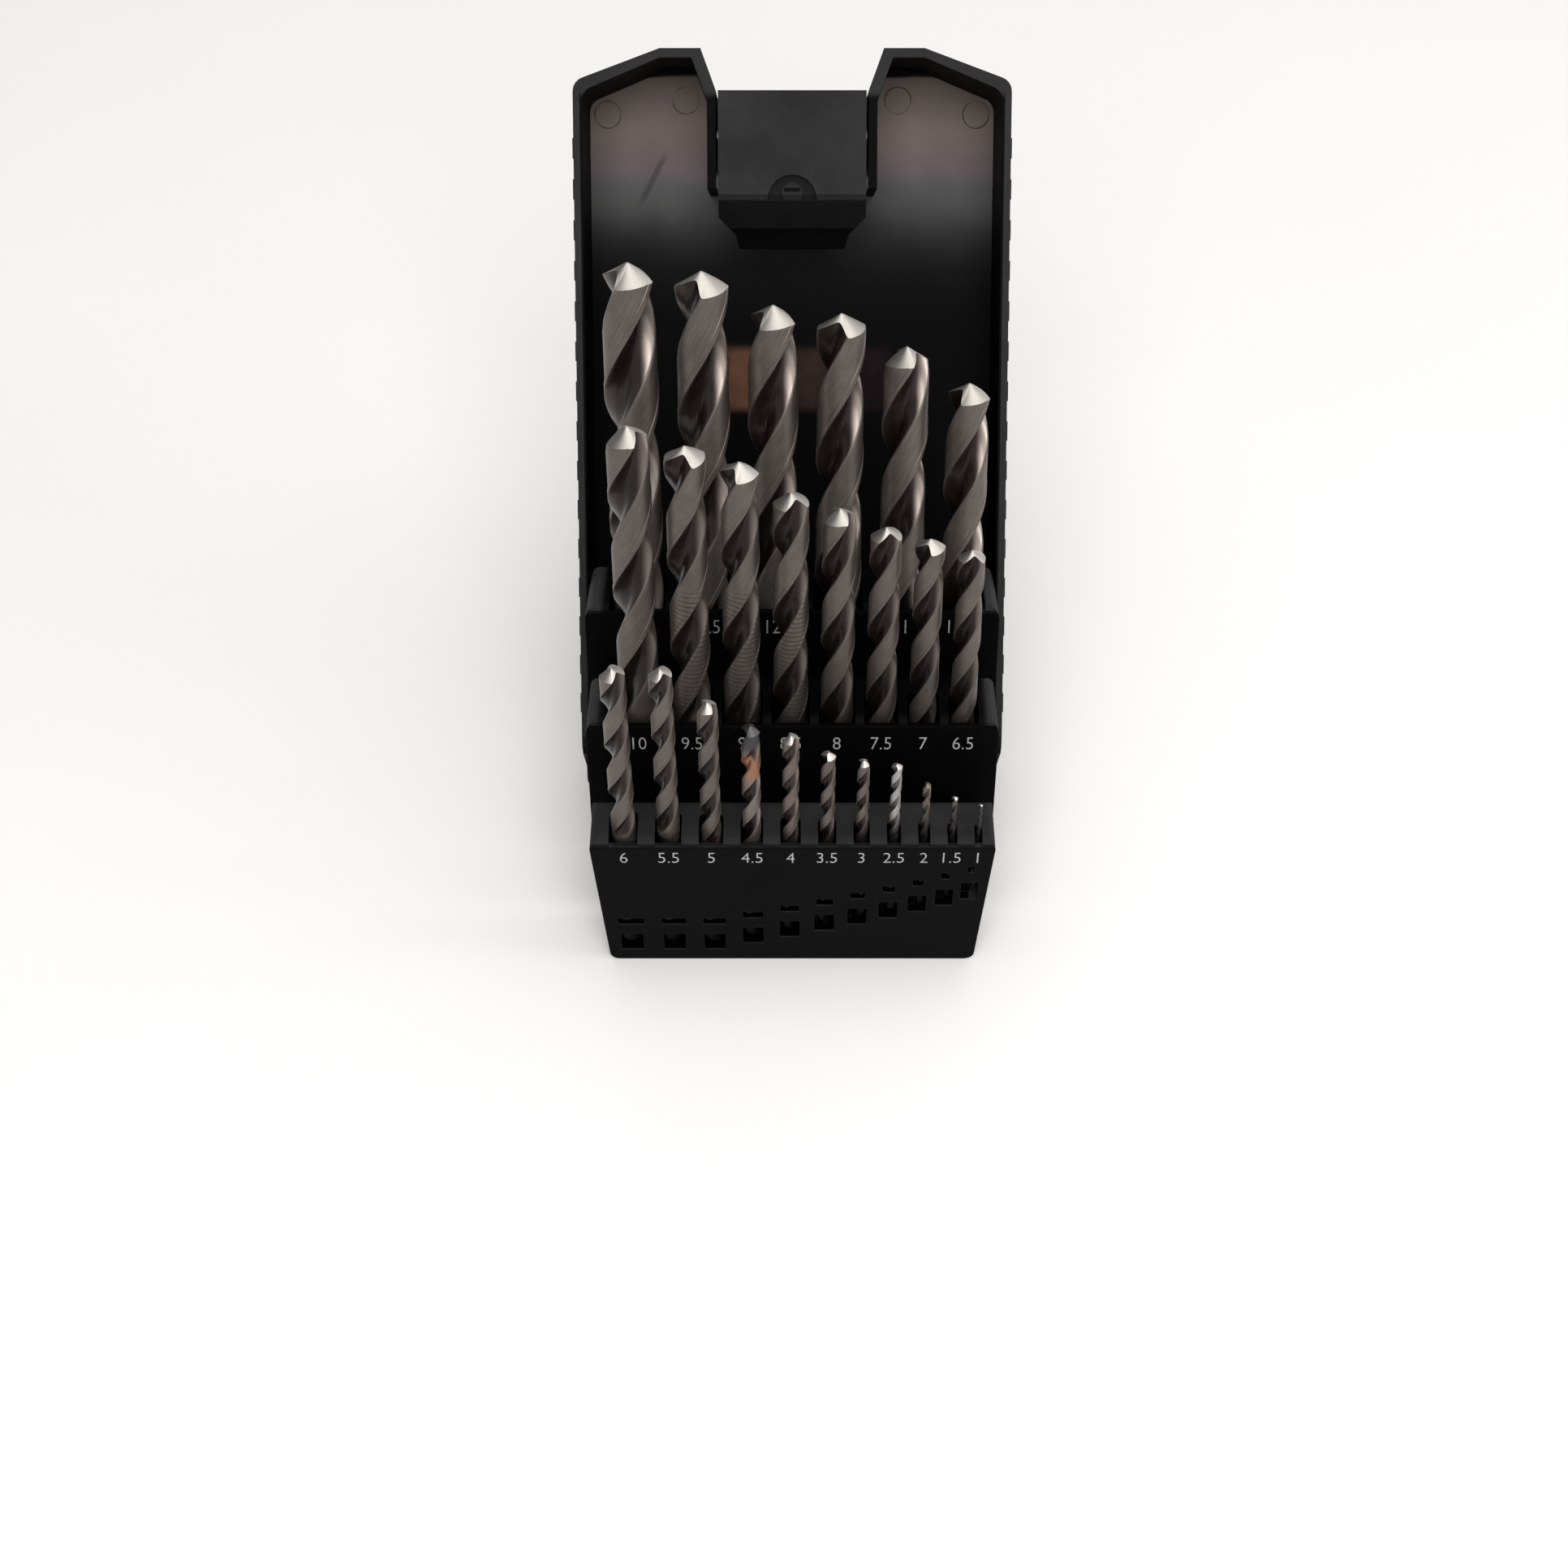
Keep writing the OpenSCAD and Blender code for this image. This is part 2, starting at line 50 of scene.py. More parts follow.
# %% [markdown]
# ## Camera
#
# The camera was fitted to the picture's straight lines and known diameters: it looks 48.84
# degrees down, from about 0.6 m away, through a 54 mm lens. It is made first, so that each later
# piece can be judged through it.

# %% Camera
camera_data = bpy.data.cameras.new("camera")
camera = bpy.data.objects.new("camera", camera_data)
bpy.context.scene.collection.objects.link(camera)
camera_data.sensor_width = 36.0
camera_data.lens = 36.0 * 2912 / 1932
camera_data.clip_start = 0.01
camera.location = (-0.002, -0.3858, 0.4732)
camera.rotation_euler = (math.radians(90 - 48.84), 0, 0)
bpy.context.scene.camera = camera
print("lens mm:", round(camera_data.lens, 2))

# %% [markdown]
# ## Frames of reference
#
# The middle rack, the rear rack and the lid each lean back about an axle. These matrices take a
# point written as (across, depth, height) in millimetres to where it stands in the open case, so
# that a number or a bit can be placed by the rack's own sizes.

# %% Leaning frames
FRONT_Y = -30.0
MIDDLE_Y, REAR_Y, AXLE_Z = 34.1, 58.3, 8.0
MIDDLE_LEAN, REAR_LEAN, LID_LEAN = 9.0, 16.5, 39.0
AXLE_COVER = 2.6
MIDDLE_T, REAR_T = 18.2, 22.0
LID_BACK, LID_UP = 19.0, -3.9
LID_DEPTH, LID_WALL = 28.0, 2.2


def leaning(y, z, lean, origin=(0, 0, 0)):
    """Matrix of a part that leans back by `lean` degrees about an axle at (y, z), in metres."""
    turn = Matrix.Rotation(math.radians(-lean), 4, "X")
    place = Matrix.Translation(Vector((0, y, z)) * MM)
    return place @ turn @ Matrix.Translation(-Vector(origin) * MM) @ Matrix.Scale(MM, 4)


AT = {
    "front": leaning(FRONT_Y, 0, 0),
    "middle": leaning(FRONT_Y + MIDDLE_Y, AXLE_Z, MIDDLE_LEAN),
    "rear": leaning(FRONT_Y + REAR_Y, AXLE_Z, REAR_LEAN),
    "lid": leaning(FRONT_Y + REAR_Y, AXLE_Z, LID_LEAN, (0, LID_BACK, LID_UP)),
}
RACK_BODY = {"front": "base", "middle": "middle_rack", "rear": "rear_rack"}
RACK_FACE = {"front": 0.0, "middle": AXLE_COVER - MIDDLE_T, "rear": AXLE_COVER - REAR_T}
print("lid's lower rim end at", [round(c * 1000, 1) for c in AT["lid"] @ Vector((0, 0, 0))], "mm")

# %% [markdown]
# ## Shader helpers
#
# Each material is a small graph. These helpers keep the graphs short: one makes a node and sets
# its sockets, one mixes two colours by a factor, one turns a noise into a soft mask.

# %% Shader helpers
def new_material(name, colour, roughness, **sockets):
    """A material with its Principled shader; constant values go straight on the sockets."""
    m = bpy.data.materials.new(name)
    m.use_nodes = True
    tree = m.node_tree
    shader = tree.nodes["Principled BSDF"]
    shader.inputs["Base Color"].default_value = (*colour, 1)
    shader.inputs["Roughness"].default_value = roughness
    for key, value in sockets.items():
        shader.inputs[key.replace("_", " ")].default_value = value
    m.diffuse_color = (*colour, 1)
    return m, tree, shader


def node(tree, kind, links=None, **values):
    """Adds a node; `links` maps input names or numbers to output sockets, values set the rest."""
    n = tree.nodes.new("ShaderNode" + kind)
    for key, value in values.items():
        if hasattr(n, key):
            setattr(n, key, value)
        else:
            n.inputs[key.replace("_", " ")].default_value = value
    for key, socket in (links or {}).items():
        tree.links.new(socket, n.inputs[key])
    return n


def noise(tree, vector, scale, detail=4.0, rough=0.55):
    """A noise texture's factor, from 0 to 1."""
    n = node(tree, "TexNoise", {"Vector": vector}, Scale=scale, Detail=detail)
    n.inputs["Roughness"].default_value = rough
    return n.outputs["Fac"]


def ramp(tree, factor, stops):
    """A colour ramp from (position, value or colour) pairs; returns its colour output."""
    n = node(tree, "ValToRGB", {"Fac": factor})
    e = n.color_ramp.elements
    while len(e) < len(stops):
        e.new(0.5)
    for k, (position, value) in enumerate(stops):
        e[k].position = position
        c = value if isinstance(value, tuple) else (value, value, value)
        e[k].color = (*c, 1)
    return n.outputs["Color"]


def mix(tree, factor, a, b, blend="MIX"):
    """Mixes two colours; each of a and b is a socket or a plain colour."""
    n = tree.nodes.new("ShaderNodeMix")
    n.data_type = "RGBA"
    n.blend_type = blend
    for name, value in (("Factor", factor), ("A", a), ("B", b)):
        s = [s for s in n.inputs if s.name == name and s.enabled][0]
        if isinstance(value, bpy.types.NodeSocket):
            tree.links.new(value, s)
        else:
            s.default_value = value if name == "Factor" else (*value, 1)
    return [s for s in n.outputs if s.enabled][0]


def maths(tree, operation, a, b=None):
    """One sum; each of a and b is a socket or a number."""
    n = tree.nodes.new("ShaderNodeMath")
    n.operation = operation
    for k, value in enumerate((a, b)):
        if isinstance(value, bpy.types.NodeSocket):
            tree.links.new(value, n.inputs[k])
        elif value is not None:
            n.inputs[k].default_value = value
    return n.outputs[0]


def between(tree, value, low, high):
    """A soft step: 0 below `low`, 1 above `high` (or the other way round if low > high)."""
    n = node(tree, "MapRange", {"Value": value}, interpolation_type="SMOOTHSTEP")
    n.inputs["From Min"].default_value = low
    n.inputs["From Max"].default_value = high
    return n.outputs["Result"]


def share_of(tree, value, low, high):
    """How far a value is on its way from `low` to `high`, in a straight line from 0 to 1."""
    n = node(tree, "MapRange", {"Value": value})
    n.inputs["From Min"].default_value = low
    n.inputs["From Max"].default_value = high
    return n.outputs["Result"]


def where(tree):
    """Object coordinates, which are the case's own metres."""
    return node(tree, "TexCoord").outputs["Object"]


def facing(tree, axis="Z"):
    """How far a surface faces along an axis of the object's own frame: 1 straight at it."""
    normal = node(tree, "TexCoord").outputs["Normal"]
    return node(tree, "SeparateXYZ", {"Vector": normal}).outputs[axis]


def across(tree):
    """Distance from the plane of symmetry, on either side."""
    x = node(tree, "SeparateXYZ", {"Vector": where(tree)}).outputs["X"]
    return maths(tree, "ABSOLUTE", x)


# %% [markdown]
# ## Moulded plastic
#
# All the plastic is black, and what tells the mouldings apart is how they take dust and light.
# Surfaces that face upwards carry a grey layer, partly dust and partly painted light from above,
# so they look paler than the upright faces next to them. Moulded edges are never knife-sharp
# either: a bevel node rounds them for the light by a fraction of a millimetre, without touching
# the mesh, and the same node tells the material where an edge is, so that edges can be painted
# lighter, partly as wear and partly as a painted highlight. A fine spark-eroded grain goes into
# the bump.

# %% Plastics
BLACK = (0.0022, 0.0022, 0.0024)
HOLE_SHADE = (0.0004, 0.0004, 0.0004)    # painted shade, as black as a hole


def moulded_surface(tree, shader, radius=0.0003, grain=0.05, scale=2600):
    """Rounded edges and fine grain for the shader's normal; returns a mask of the edges."""
    soft = node(tree, "Bevel", Radius=radius, samples=4)
    fine = noise(tree, where(tree), scale, 2, 0.6)
    n = node(tree, "Bump", {"Height": fine, "Normal": soft.outputs["Normal"]},
             Strength=grain, Distance=0.0002)
    tree.links.new(n.outputs["Normal"], shader.inputs["Normal"])
    flat = node(tree, "NewGeometry").outputs["Normal"]
    dot = node(tree, "VectorMath", operation="DOT_PRODUCT")
    tree.links.new(soft.outputs["Normal"], dot.inputs[0])
    tree.links.new(flat, dot.inputs[1])
    return between(tree, dot.outputs["Value"], 0.99, 0.85)


def plastic(name, colour, dust_and_top_light, roughness, edge=(0.035, 0.035, 0.036), keep=None, deep=None):
    """Black moulding with a grey layer of dust and painted top light on what faces up, and edges
    painted lighter, as wear and as a painted highlight.

    `keep` makes a mask from the tree, where this layer is left out of some places; `deep` makes
    one that is 0 where painted shade makes the moulding blackest, such as down in a pocket.
    """
    m, tree, shader = new_material(name, colour, roughness, Specular_IOR_Level=0.03)
    at = where(tree)
    worn_and_lit_edges = moulded_surface(tree, shader)
    cloud = noise(tree, at, 70, 5)
    # the grey layer on what faces up stands partly for dust and partly for painted light from above
    dusted_and_lit = between(tree, facing(tree), 0.3, 0.75)
    if keep is not None:
        dusted_and_lit = maths(tree, "MULTIPLY", dusted_and_lit, keep(tree))
        worn_and_lit_edges = maths(tree, "MULTIPLY", worn_and_lit_edges, maths(tree, "ADD", keep(tree), 0.25))
    base = mix(tree, dusted_and_lit, colour, dust_and_top_light)
    patchy = ramp(tree, cloud, [(0.3, 0.72), (0.7, 1.25)])
    base = mix(tree, 1.0, base, patchy, "MULTIPLY")
    # painted shade: black where `deep` is 0, such as in pockets and under the latch's hook
    if deep is not None:
        base = mix(tree, deep(tree), HOLE_SHADE, base)
    specks = ramp(tree, noise(tree, at, 1100, 2, 0.7), [(0.70, 0.0), (0.76, 1.0)])
    base = mix(tree, maths(tree, "MULTIPLY", specks, 0.3), base, (0.05, 0.049, 0.047))
    # edges painted lighter: partly wear, partly a painted highlight
    base = mix(tree, maths(tree, "MULTIPLY", worn_and_lit_edges, 0.55), base, edge)
    tree.links.new(base, shader.inputs["Base Color"])
    rough = node(tree, "MapRange", {"Value": cloud}, From_Min=0.3, From_Max=0.75)
    rough.inputs["To Min"].default_value = roughness - 0.05
    rough.inputs["To Max"].default_value = roughness + 0.1
    tree.links.new(rough.outputs["Result"], shader.inputs["Roughness"])
    return m


# %% [markdown]
# Dust and painted top light do not lie everywhere. The two swinging racks get them only at their
# ends, because the bits shade the rest, and the insides of the front rack's pockets and windows
# are painted as black as holes, as painted shade. Both are masks made from the place alone, so no
# extra mesh or picture is needed.

# %% Rack and base plastics
SHOULDER = 0.0465    # the swinging racks get their dust and painted top light only from here out to their ends, in metres
SKIN = 0.35          # anything this far behind the front rack's face is inside it, in mm
POCKETS_TOP, POCKETS_HALF = 43.4, 42.75    # height and half width of what is inside, in mm


def shoulders(tree):
    return between(tree, across(tree), SHOULDER - 0.001, SHOULDER + 0.001)


def outside(tree):
    """0 inside the front rack's pockets and windows, which get painted shade, 1 on its outer
    surfaces.
    """
    y, z = node(tree, "SeparateXYZ", {"Vector": where(tree)}).outputs[1:3]
    behind = between(tree, y, (FRONT_Y + SKIN - 0.1) * MM, (FRONT_Y + SKIN + 0.1) * MM)
    below = between(tree, z, (POCKETS_TOP + 0.2) * MM, (POCKETS_TOP - 0.2) * MM)
    inner = maths(tree, "MULTIPLY", behind, below)
    middle = between(tree, across(tree), (POCKETS_HALF + 0.25) * MM, (POCKETS_HALF - 0.25) * MM)
    inner = maths(tree, "MULTIPLY", inner, middle)
    return maths(tree, "SUBTRACT", 1.0, inner)


rack_plastic = plastic("rack_satin", (0.0032, 0.0032, 0.0034), (0.022, 0.022, 0.0225), 0.5,
                       deep=outside)
swing_plastic = plastic("swing_rack_satin", (0.0012, 0.0012, 0.0013), (0.026, 0.026, 0.0265), 0.5,
                        keep=shoulders)
base_plastic = plastic("base_satin", (0.004, 0.004, 0.0045), (0.012, 0.012, 0.012), 0.5)
print("rack and base plastics:", rack_plastic.name, swing_plastic.name, base_plastic.name)

# %% [markdown]
# The lid's panel is the one large surface that is not plain black: it carries a painted
# reflection, a warm grey at its top that turns mauve, with some dust, and this fades into
# painted shade, black about a third of the way down and again just under the ears. A colour ramp
# along the lid is enough for this, because the fade runs straight across it: the heights and
# tones of its stops were read off the picture and then set against renders. The ramp is kept to
# the panel by its depth behind the rim and by the way it faces, since the side walls cross that
# depth too.

# %% Lid plastic
PANEL = LID_DEPTH - LID_WALL
RIM_GREY = 51.9    # half width across the lid from which its side rims are grey
EARS_UP = 164.0    # above this height the rims are grey all over
SMEAR_AT, SMEAR_LEAN = (-35.4, 146.2), 62    # across and along the lid in mm, degrees
PAINTED_PANEL_TONES = [  # height along the lid in mm, colour
    (110, (0.0015, 0.0015, 0.0016)), (118, (0.003, 0.003, 0.003)), (124, (0.0065, 0.0065, 0.0065)),
    (128, (0.014, 0.014, 0.014)), (131, (0.024, 0.024, 0.024)), (134, (0.040, 0.040, 0.040)),
    (140, (0.092, 0.092, 0.092)), (144, (0.118, 0.116, 0.118)), (148, (0.180, 0.145, 0.160)),
    (154, (0.200, 0.164, 0.155)), (160, (0.212, 0.174, 0.158)), (168, (0.180, 0.148, 0.134)),
    (171, (0.165, 0.136, 0.124)), (171.6, (0.0015, 0.0015, 0.0016)),
]


def lid_frame(tree):
    """Sockets for a point's place on the lid: across, depth behind the rim, height along it."""
    x, y, z = node(tree, "SeparateXYZ", {"Vector": where(tree)}).outputs
    lean = math.radians(LID_LEAN)
    dy = maths(tree, "SUBTRACT", y, (FRONT_Y + REAR_Y) * MM)
    dz = maths(tree, "SUBTRACT", z, AXLE_Z * MM)
    up = maths(tree, "ADD", maths(tree, "MULTIPLY", dy, math.sin(lean)),
               maths(tree, "MULTIPLY", dz, math.cos(lean)))
    depth = maths(tree, "SUBTRACT", maths(tree, "MULTIPLY", dy, math.cos(lean)),
                  maths(tree, "MULTIPLY", dz, math.sin(lean)))
    return (x, maths(tree, "ADD", depth, LID_BACK * MM), maths(tree, "ADD", up, LID_UP * MM))


def painted_panel_light(tree, x, up):
    """The panel's painted reflection and painted shade: the ramp along the lid, a little mottled,
    with one dark smear.
    """
    at = where(tree)
    cloud = noise(tree, at, 45, 3, 0.45)
    waved = maths(tree, "ADD", up, maths(tree, "MULTIPLY",
                                         maths(tree, "SUBTRACT", cloud, 0.5), 0.004))
    low, high = 100 * MM, 175 * MM
    stops = [((h * MM - low) / (high - low), c) for h, c in PAINTED_PANEL_TONES]
    shade = ramp(tree, share_of(tree, waved, low, high), stops)
    shade = mix(tree, 1.0, shade, ramp(tree, cloud, [(0.3, 0.88), (0.7, 1.12)]), "MULTIPLY")
    # the smear runs from lower left to upper right on the left half
    a = math.radians(SMEAR_LEAN)
    dx = maths(tree, "SUBTRACT", x, SMEAR_AT[0] * MM)
    du = maths(tree, "SUBTRACT", up, SMEAR_AT[1] * MM)
    off = maths(tree, "SUBTRACT", maths(tree, "MULTIPLY", dx, math.sin(a)),
                maths(tree, "MULTIPLY", du, math.cos(a)))
    run = maths(tree, "ADD", maths(tree, "MULTIPLY", dx, math.cos(a)),
                maths(tree, "MULTIPLY", du, math.sin(a)))
    line = maths(tree, "MULTIPLY",
                 between(tree, maths(tree, "ABSOLUTE", off), 0.0012, 0.0002),
                 between(tree, maths(tree, "ABSOLUTE", run), 0.0085, 0.004))
    return mix(tree, maths(tree, "MULTIPLY", line, 0.5), shade, (0.03, 0.024, 0.027))


def lid_plastic(name, everywhere=False):
    """The lid's black with a rim of dust and painted top light; the panel's plane gets the panel's
    painted reflection and shade.
    """
    colour, dust_and_top_light = (0.001, 0.001, 0.0011), (0.027, 0.027, 0.0275)
    m, tree, shader = new_material(name, colour, 0.5, Specular_IOR_Level=0.03)
    worn_and_lit_edges = moulded_surface(tree, shader, 0.00035, 0.04, 1800)
    x, depth, up = lid_frame(tree)
    shade = painted_panel_light(tree, x, up)
    if everywhere:
        base = shade
    else:
        near = maths(tree, "ABSOLUTE", maths(tree, "SUBTRACT", depth, PANEL * MM))
        # dust, painted top light and worn, lit edges lie only on the side rims' outer part, the
        # inner part kept dark as painted shade; on the ears' rims they lie all over
        outer = between(tree, across(tree), (RIM_GREY - 0.15) * MM, (RIM_GREY + 0.15) * MM)
        ears = between(tree, up, (EARS_UP - 1) * MM, (EARS_UP + 1) * MM)
        outer = maths(tree, "MAXIMUM", outer, ears)
        dusted_and_lit = maths(tree, "MULTIPLY", between(tree, facing(tree), 0.3, 0.6), outer)
        base = mix(tree, dusted_and_lit, colour, dust_and_top_light)
        base = mix(tree, 1.0, base, ramp(tree, noise(tree, where(tree), 60, 5),
                                         [(0.3, 0.8), (0.7, 1.2)]), "MULTIPLY")
        worn_and_lit_edges = maths(tree, "MULTIPLY", worn_and_lit_edges, outer)
        base = mix(tree, maths(tree, "MULTIPLY", worn_and_lit_edges, 0.5), base, (0.06, 0.059, 0.058))
        # only what faces forward and up is the panel; the walls cross its depth too
        in_plane = maths(tree, "MULTIPLY", between(tree, near, 0.0006, 0.0003),
                         maths(tree, "MULTIPLY", between(tree, facing(tree, "Y"), -0.5, -0.7),
                               between(tree, facing(tree), 0.3, 0.5)))
        base = mix(tree, in_plane, base, shade)
    tree.links.new(base, shader.inputs["Base Color"])
    return m


# %% [markdown]
# The latch carries dust and painted top light on its flat face, less of them on the slanted face
# below it and down in the thumb recess, as painted shade, and its hook is painted black as shade.
# The same three sockets that place a point on the lid say which of these it lies on.

# %% Lid and latch
LATCH_EDGE = 140.4    # the latch's face with dust and painted top light ends here, along the lid
SLANT = 8.0           # height of the slanted face below it
RECESS = -0.6         # anything on the latch deeper than this lies in its thumb recess


def above_hook(tree):
    """0 on the latch's lower part, under the slanted face, which is in deep shade and is painted
    black.
    """
    up = lid_frame(tree)[2]
    return between(tree, up, (LATCH_EDGE - SLANT - 0.1) * MM, (LATCH_EDGE - SLANT + 0.1) * MM)


def latch_face(tree):
    """Dust and painted top light: 1 on the latch's flat face, less on the slant and down in the
    recess, as painted shade, 0 on the hook.
    """
    depth, up = lid_frame(tree)[1:]
    face = between(tree, up, (LATCH_EDGE - 0.15) * MM, (LATCH_EDGE + 0.15) * MM)
    slant = above_hook(tree)
    high = maths(tree, "ADD", maths(tree, "MULTIPLY", face, 0.6),
                 maths(tree, "MULTIPLY", slant, 0.4))
    # the thumb recess gets less, as painted shade
    outside_recess = between(tree, depth, (RECESS + 0.2) * MM, RECESS * MM)
    lit = maths(tree, "ADD", maths(tree, "MULTIPLY", outside_recess, 0.6), 0.4)
    return maths(tree, "MULTIPLY", high, lit)


lid_black = lid_plastic("lid_black")
latch_plastic = plastic("latch_dull", (0.0052, 0.0052, 0.0053), (0.032, 0.032, 0.0325), 0.6,
                        keep=latch_face, deep=above_hook)
panel_reflection_paint = lid_plastic("panel_reflection_paint", everywhere=True)


def give(material, *names):
    for n in names:
        nodes[n].data.materials.clear()
        nodes[n].data.materials.append(material)


give(rack_plastic, "front_rack")
give(swing_plastic, "middle_rack", "rear_rack")
give(base_plastic, "base_frame")
give(latch_plastic, "latch")
give(lid_black, "lid_shell")
print("lid and latch plastics:", lid_black.name, panel_reflection_paint.name, latch_plastic.name)

# %% [markdown]
# ## Base plate
#
# The base plate is only as wide as its lugs from the middle axle back; in front of that the real
# one is as narrow as the tongue under the front rack. The frame's plate is wide all the way, so
# a copy of its mesh has two corner blocks cut off with boolean modifiers, and the copy replaces
# it. A boolean is the short way here, because every edge that is left stays where it was.

# %% Narrow the base plate's front
def trimmed_base(half=42.0, front=-20.0, back=-1.5, beyond=60, heights=(-2, 14)):
    """A copy of the base plate without the corners outside `half` from `front` to `back`.

    The cutting blocks reach out to `beyond` and over all of the plate's `heights`, in mm.
    """
    source = nodes["base_frame"]
    piece = bpy.data.objects.new("base_plate", source.data.copy())
    piece.matrix_world = source.matrix_world.copy()
    bpy.context.scene.collection.objects.link(piece)
    cutters = []
    for side in (-1, 1):
        x0, x1 = sorted((side * half, side * beyond))
        corners = [(x * MM, y * MM, z * MM)
                   for z in heights for y in (front, back) for x in (x0, x1)]
        faces = [(0, 2, 3, 1), (4, 5, 7, 6), (0, 1, 5, 4), (2, 6, 7, 3), (0, 4, 6, 2), (1, 3, 7, 5)]
        mesh = bpy.data.meshes.new("cutter")
        mesh.from_pydata(corners, [], faces)
        cutter = bpy.data.objects.new("cutter", mesh)
        bpy.context.scene.collection.objects.link(cutter)
        cut = piece.modifiers.new("cut", "BOOLEAN")
        cut.operation = "DIFFERENCE"
        cut.object = cutter
        cutters.append(cutter)
    bpy.context.view_layer.update()
    cut_piece = piece.evaluated_get(bpy.context.evaluated_depsgraph_get())
    shape = bpy.data.meshes.new_from_object(cut_piece)
    piece.modifiers.clear()
    piece.data = shape
    for cutter in cutters:
        bpy.data.objects.remove(cutter)
    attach(piece, "base")
    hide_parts("base_frame")
    return piece


base_plate = trimmed_base()
print("base plate faces:", len(nodes["base_frame"].data.polygons), "to",
      len(base_plate.data.polygons))

# %% [markdown]
# ## Steel
#
# The axles, the latch pin and the screws are plated. A drill bit has three finishes, which are
# told apart by the mesh itself: a colour on each face's corners says land, flute or ground
# point, and how deep in the flute it lies. The lands are a flat warm grey, the flutes a dark
# purple-brown with a painted silver highlight on the bit's right, and the ground points are
# bright, with painted shade on the flank that faces left.

# %% Plated steel
def plated():
    m, tree, shader = new_material("plated", (0.55, 0.55, 0.56), 0.28, Metallic=1.0)
    grain = noise(tree, where(tree), 1500, 3)
    rough = node(tree, "MapRange", {"Value": grain})
    rough.inputs["To Min"].default_value = 0.2
    rough.inputs["To Max"].default_value = 0.38
    tree.links.new(rough.outputs["Result"], shader.inputs["Roughness"])
    n = node(tree, "Bump", {"Height": grain}, Strength=0.1, Distance=0.0001)
    tree.links.new(n.outputs["Normal"], shader.inputs["Normal"])
    return m


PLATED = ("base_screws", "middle_axle", "rear_axle", "latch_pin")
give(plated(), *PLATED)
print("plated:", ", ".join(PLATED))

# %% [markdown]
# A drill's material reads where it is from the mesh: one UV layer gives the share round the bar
# and the height in centimetres, another how far to the right of the axis a point lies. From
# these come streaks that follow the helix, a stretch of rust, curved grinding lines, or the
# painted highlight on the bit's right, with no picture needed. Each look has a helper of its own,
# so the graph can be read piece by piece.

# %% Reading a place on a bit
# heights up a bit in centimetres, each pair or row from its lower to its upper end
POCKET_SHADE_UP = (2.8, 3.8)             # painted shade below, none above
DIM_UP = (4.6, 8.2)               # the middle row's dark foot fades over this
LINES_UP = (8.3, 8.9)             # the grinding lines end over this
RUST_UP = (5.4, 5.8, 6.5, 6.9)    # rust begins, is full, starts to end, is gone
LINE_RATE = 52.0                  # the lines' wave in radians per centimetre
BOW, BOW_RATE = 2.2, 5.0          # how far the lines bow, and how fast round the bar


def times(colour, k):
    return tuple(c * k for c in colour)


def place_on_bit(tree):
    """Sockets: streak along the helix, share round the bar, height in cm, place to the right."""
    grain = node(tree, "UVMap", uv_map="grain").outputs["UV"]
    share, height = node(tree, "SeparateXYZ", {"Vector": grain}).outputs[:2]
    stretch = node(tree, "Mapping", {"Vector": grain})
    stretch.inputs["Scale"].default_value = (40, 1.6, 1)
    streak = noise(tree, stretch.outputs["Vector"], 1.0, 4, 0.7)
    place = node(tree, "UVMap", uv_map="place").outputs["UV"]
    return streak, share, height, node(tree, "SeparateXYZ", {"Vector": place}).outputs["X"]


# %% Lands and flutes
def land_look(tree, land, wear, streak):
    """A land: its colour worn lighter and darker, with streaks along the helix."""
    worn = mix(tree, ramp(tree, wear, [(0.3, 0.0), (0.75, 1.0)]), times(land, 0.85),
               times(land, 1.12))
    return mix(tree, 1.0, worn, ramp(tree, streak, [(0.3, 0.75), (0.7, 1.22)]), "MULTIPLY")


def grinding_lines(tree, look, share, height, dark):
    """Thin bowed lines across the lower lands, about one every 1.2 mm."""
    bow = maths(tree, "SINE", maths(tree, "MULTIPLY", share, BOW_RATE))
    bow = maths(tree, "MULTIPLY", bow, BOW)
    wave = maths(tree, "SINE", maths(tree, "ADD", maths(tree, "MULTIPLY", height, LINE_RATE), bow))
    cut = maths(tree, "MULTIPLY", between(tree, wave, 0.55, 0.85),
                between(tree, height, LINES_UP[1], LINES_UP[0]))
    return mix(tree, maths(tree, "MULTIPLY", cut, 0.6), look, dark)


def flute_look(tree, land, hollow, deep, streak, right, painted_highlight):
    """A flute: dark in its hollow, with a painted highlight on its right and a little painted
    reflection on its left.
    """
    rim = times(land, 1.7)
    half = tuple(0.25 * p + 0.75 * q for p, q in zip(rim, hollow))
    look = ramp(tree, deep, [(0.02, rim), (0.09, half), (0.24, hollow)])
    look = mix(tree, 1.0, look, ramp(tree, streak, [(0.3, 0.75), (0.75, 1.3)]), "MULTIPLY")
    # painted highlight on the right, and a weaker painted reflection on the left
    look = mix(tree, maths(tree, "MULTIPLY", between(tree, right, 0.34, 0.85), painted_highlight), look,
               times(land, 4.0))
    return mix(tree, maths(tree, "MULTIPLY", between(tree, right, -0.45, -0.85), 0.3 * painted_highlight),
               look, land)


def rusty_stretch(tree, look, height, rust):
    """Spots of rust over one stretch of the bit, and a burnt grey end above them."""
    spots = ramp(tree, noise(tree, where(tree), 260, 4), [(0.42, 0.0), (0.56, 1.0)])
    begins, full, ends, gone = RUST_UP
    zone = maths(tree, "MULTIPLY", between(tree, height, begins, full),
                 between(tree, height, gone, ends))
    look = mix(tree, maths(tree, "MULTIPLY", spots, zone), look, rust)
    return mix(tree, between(tree, height, ends, gone), look, (0.045, 0.043, 0.045))


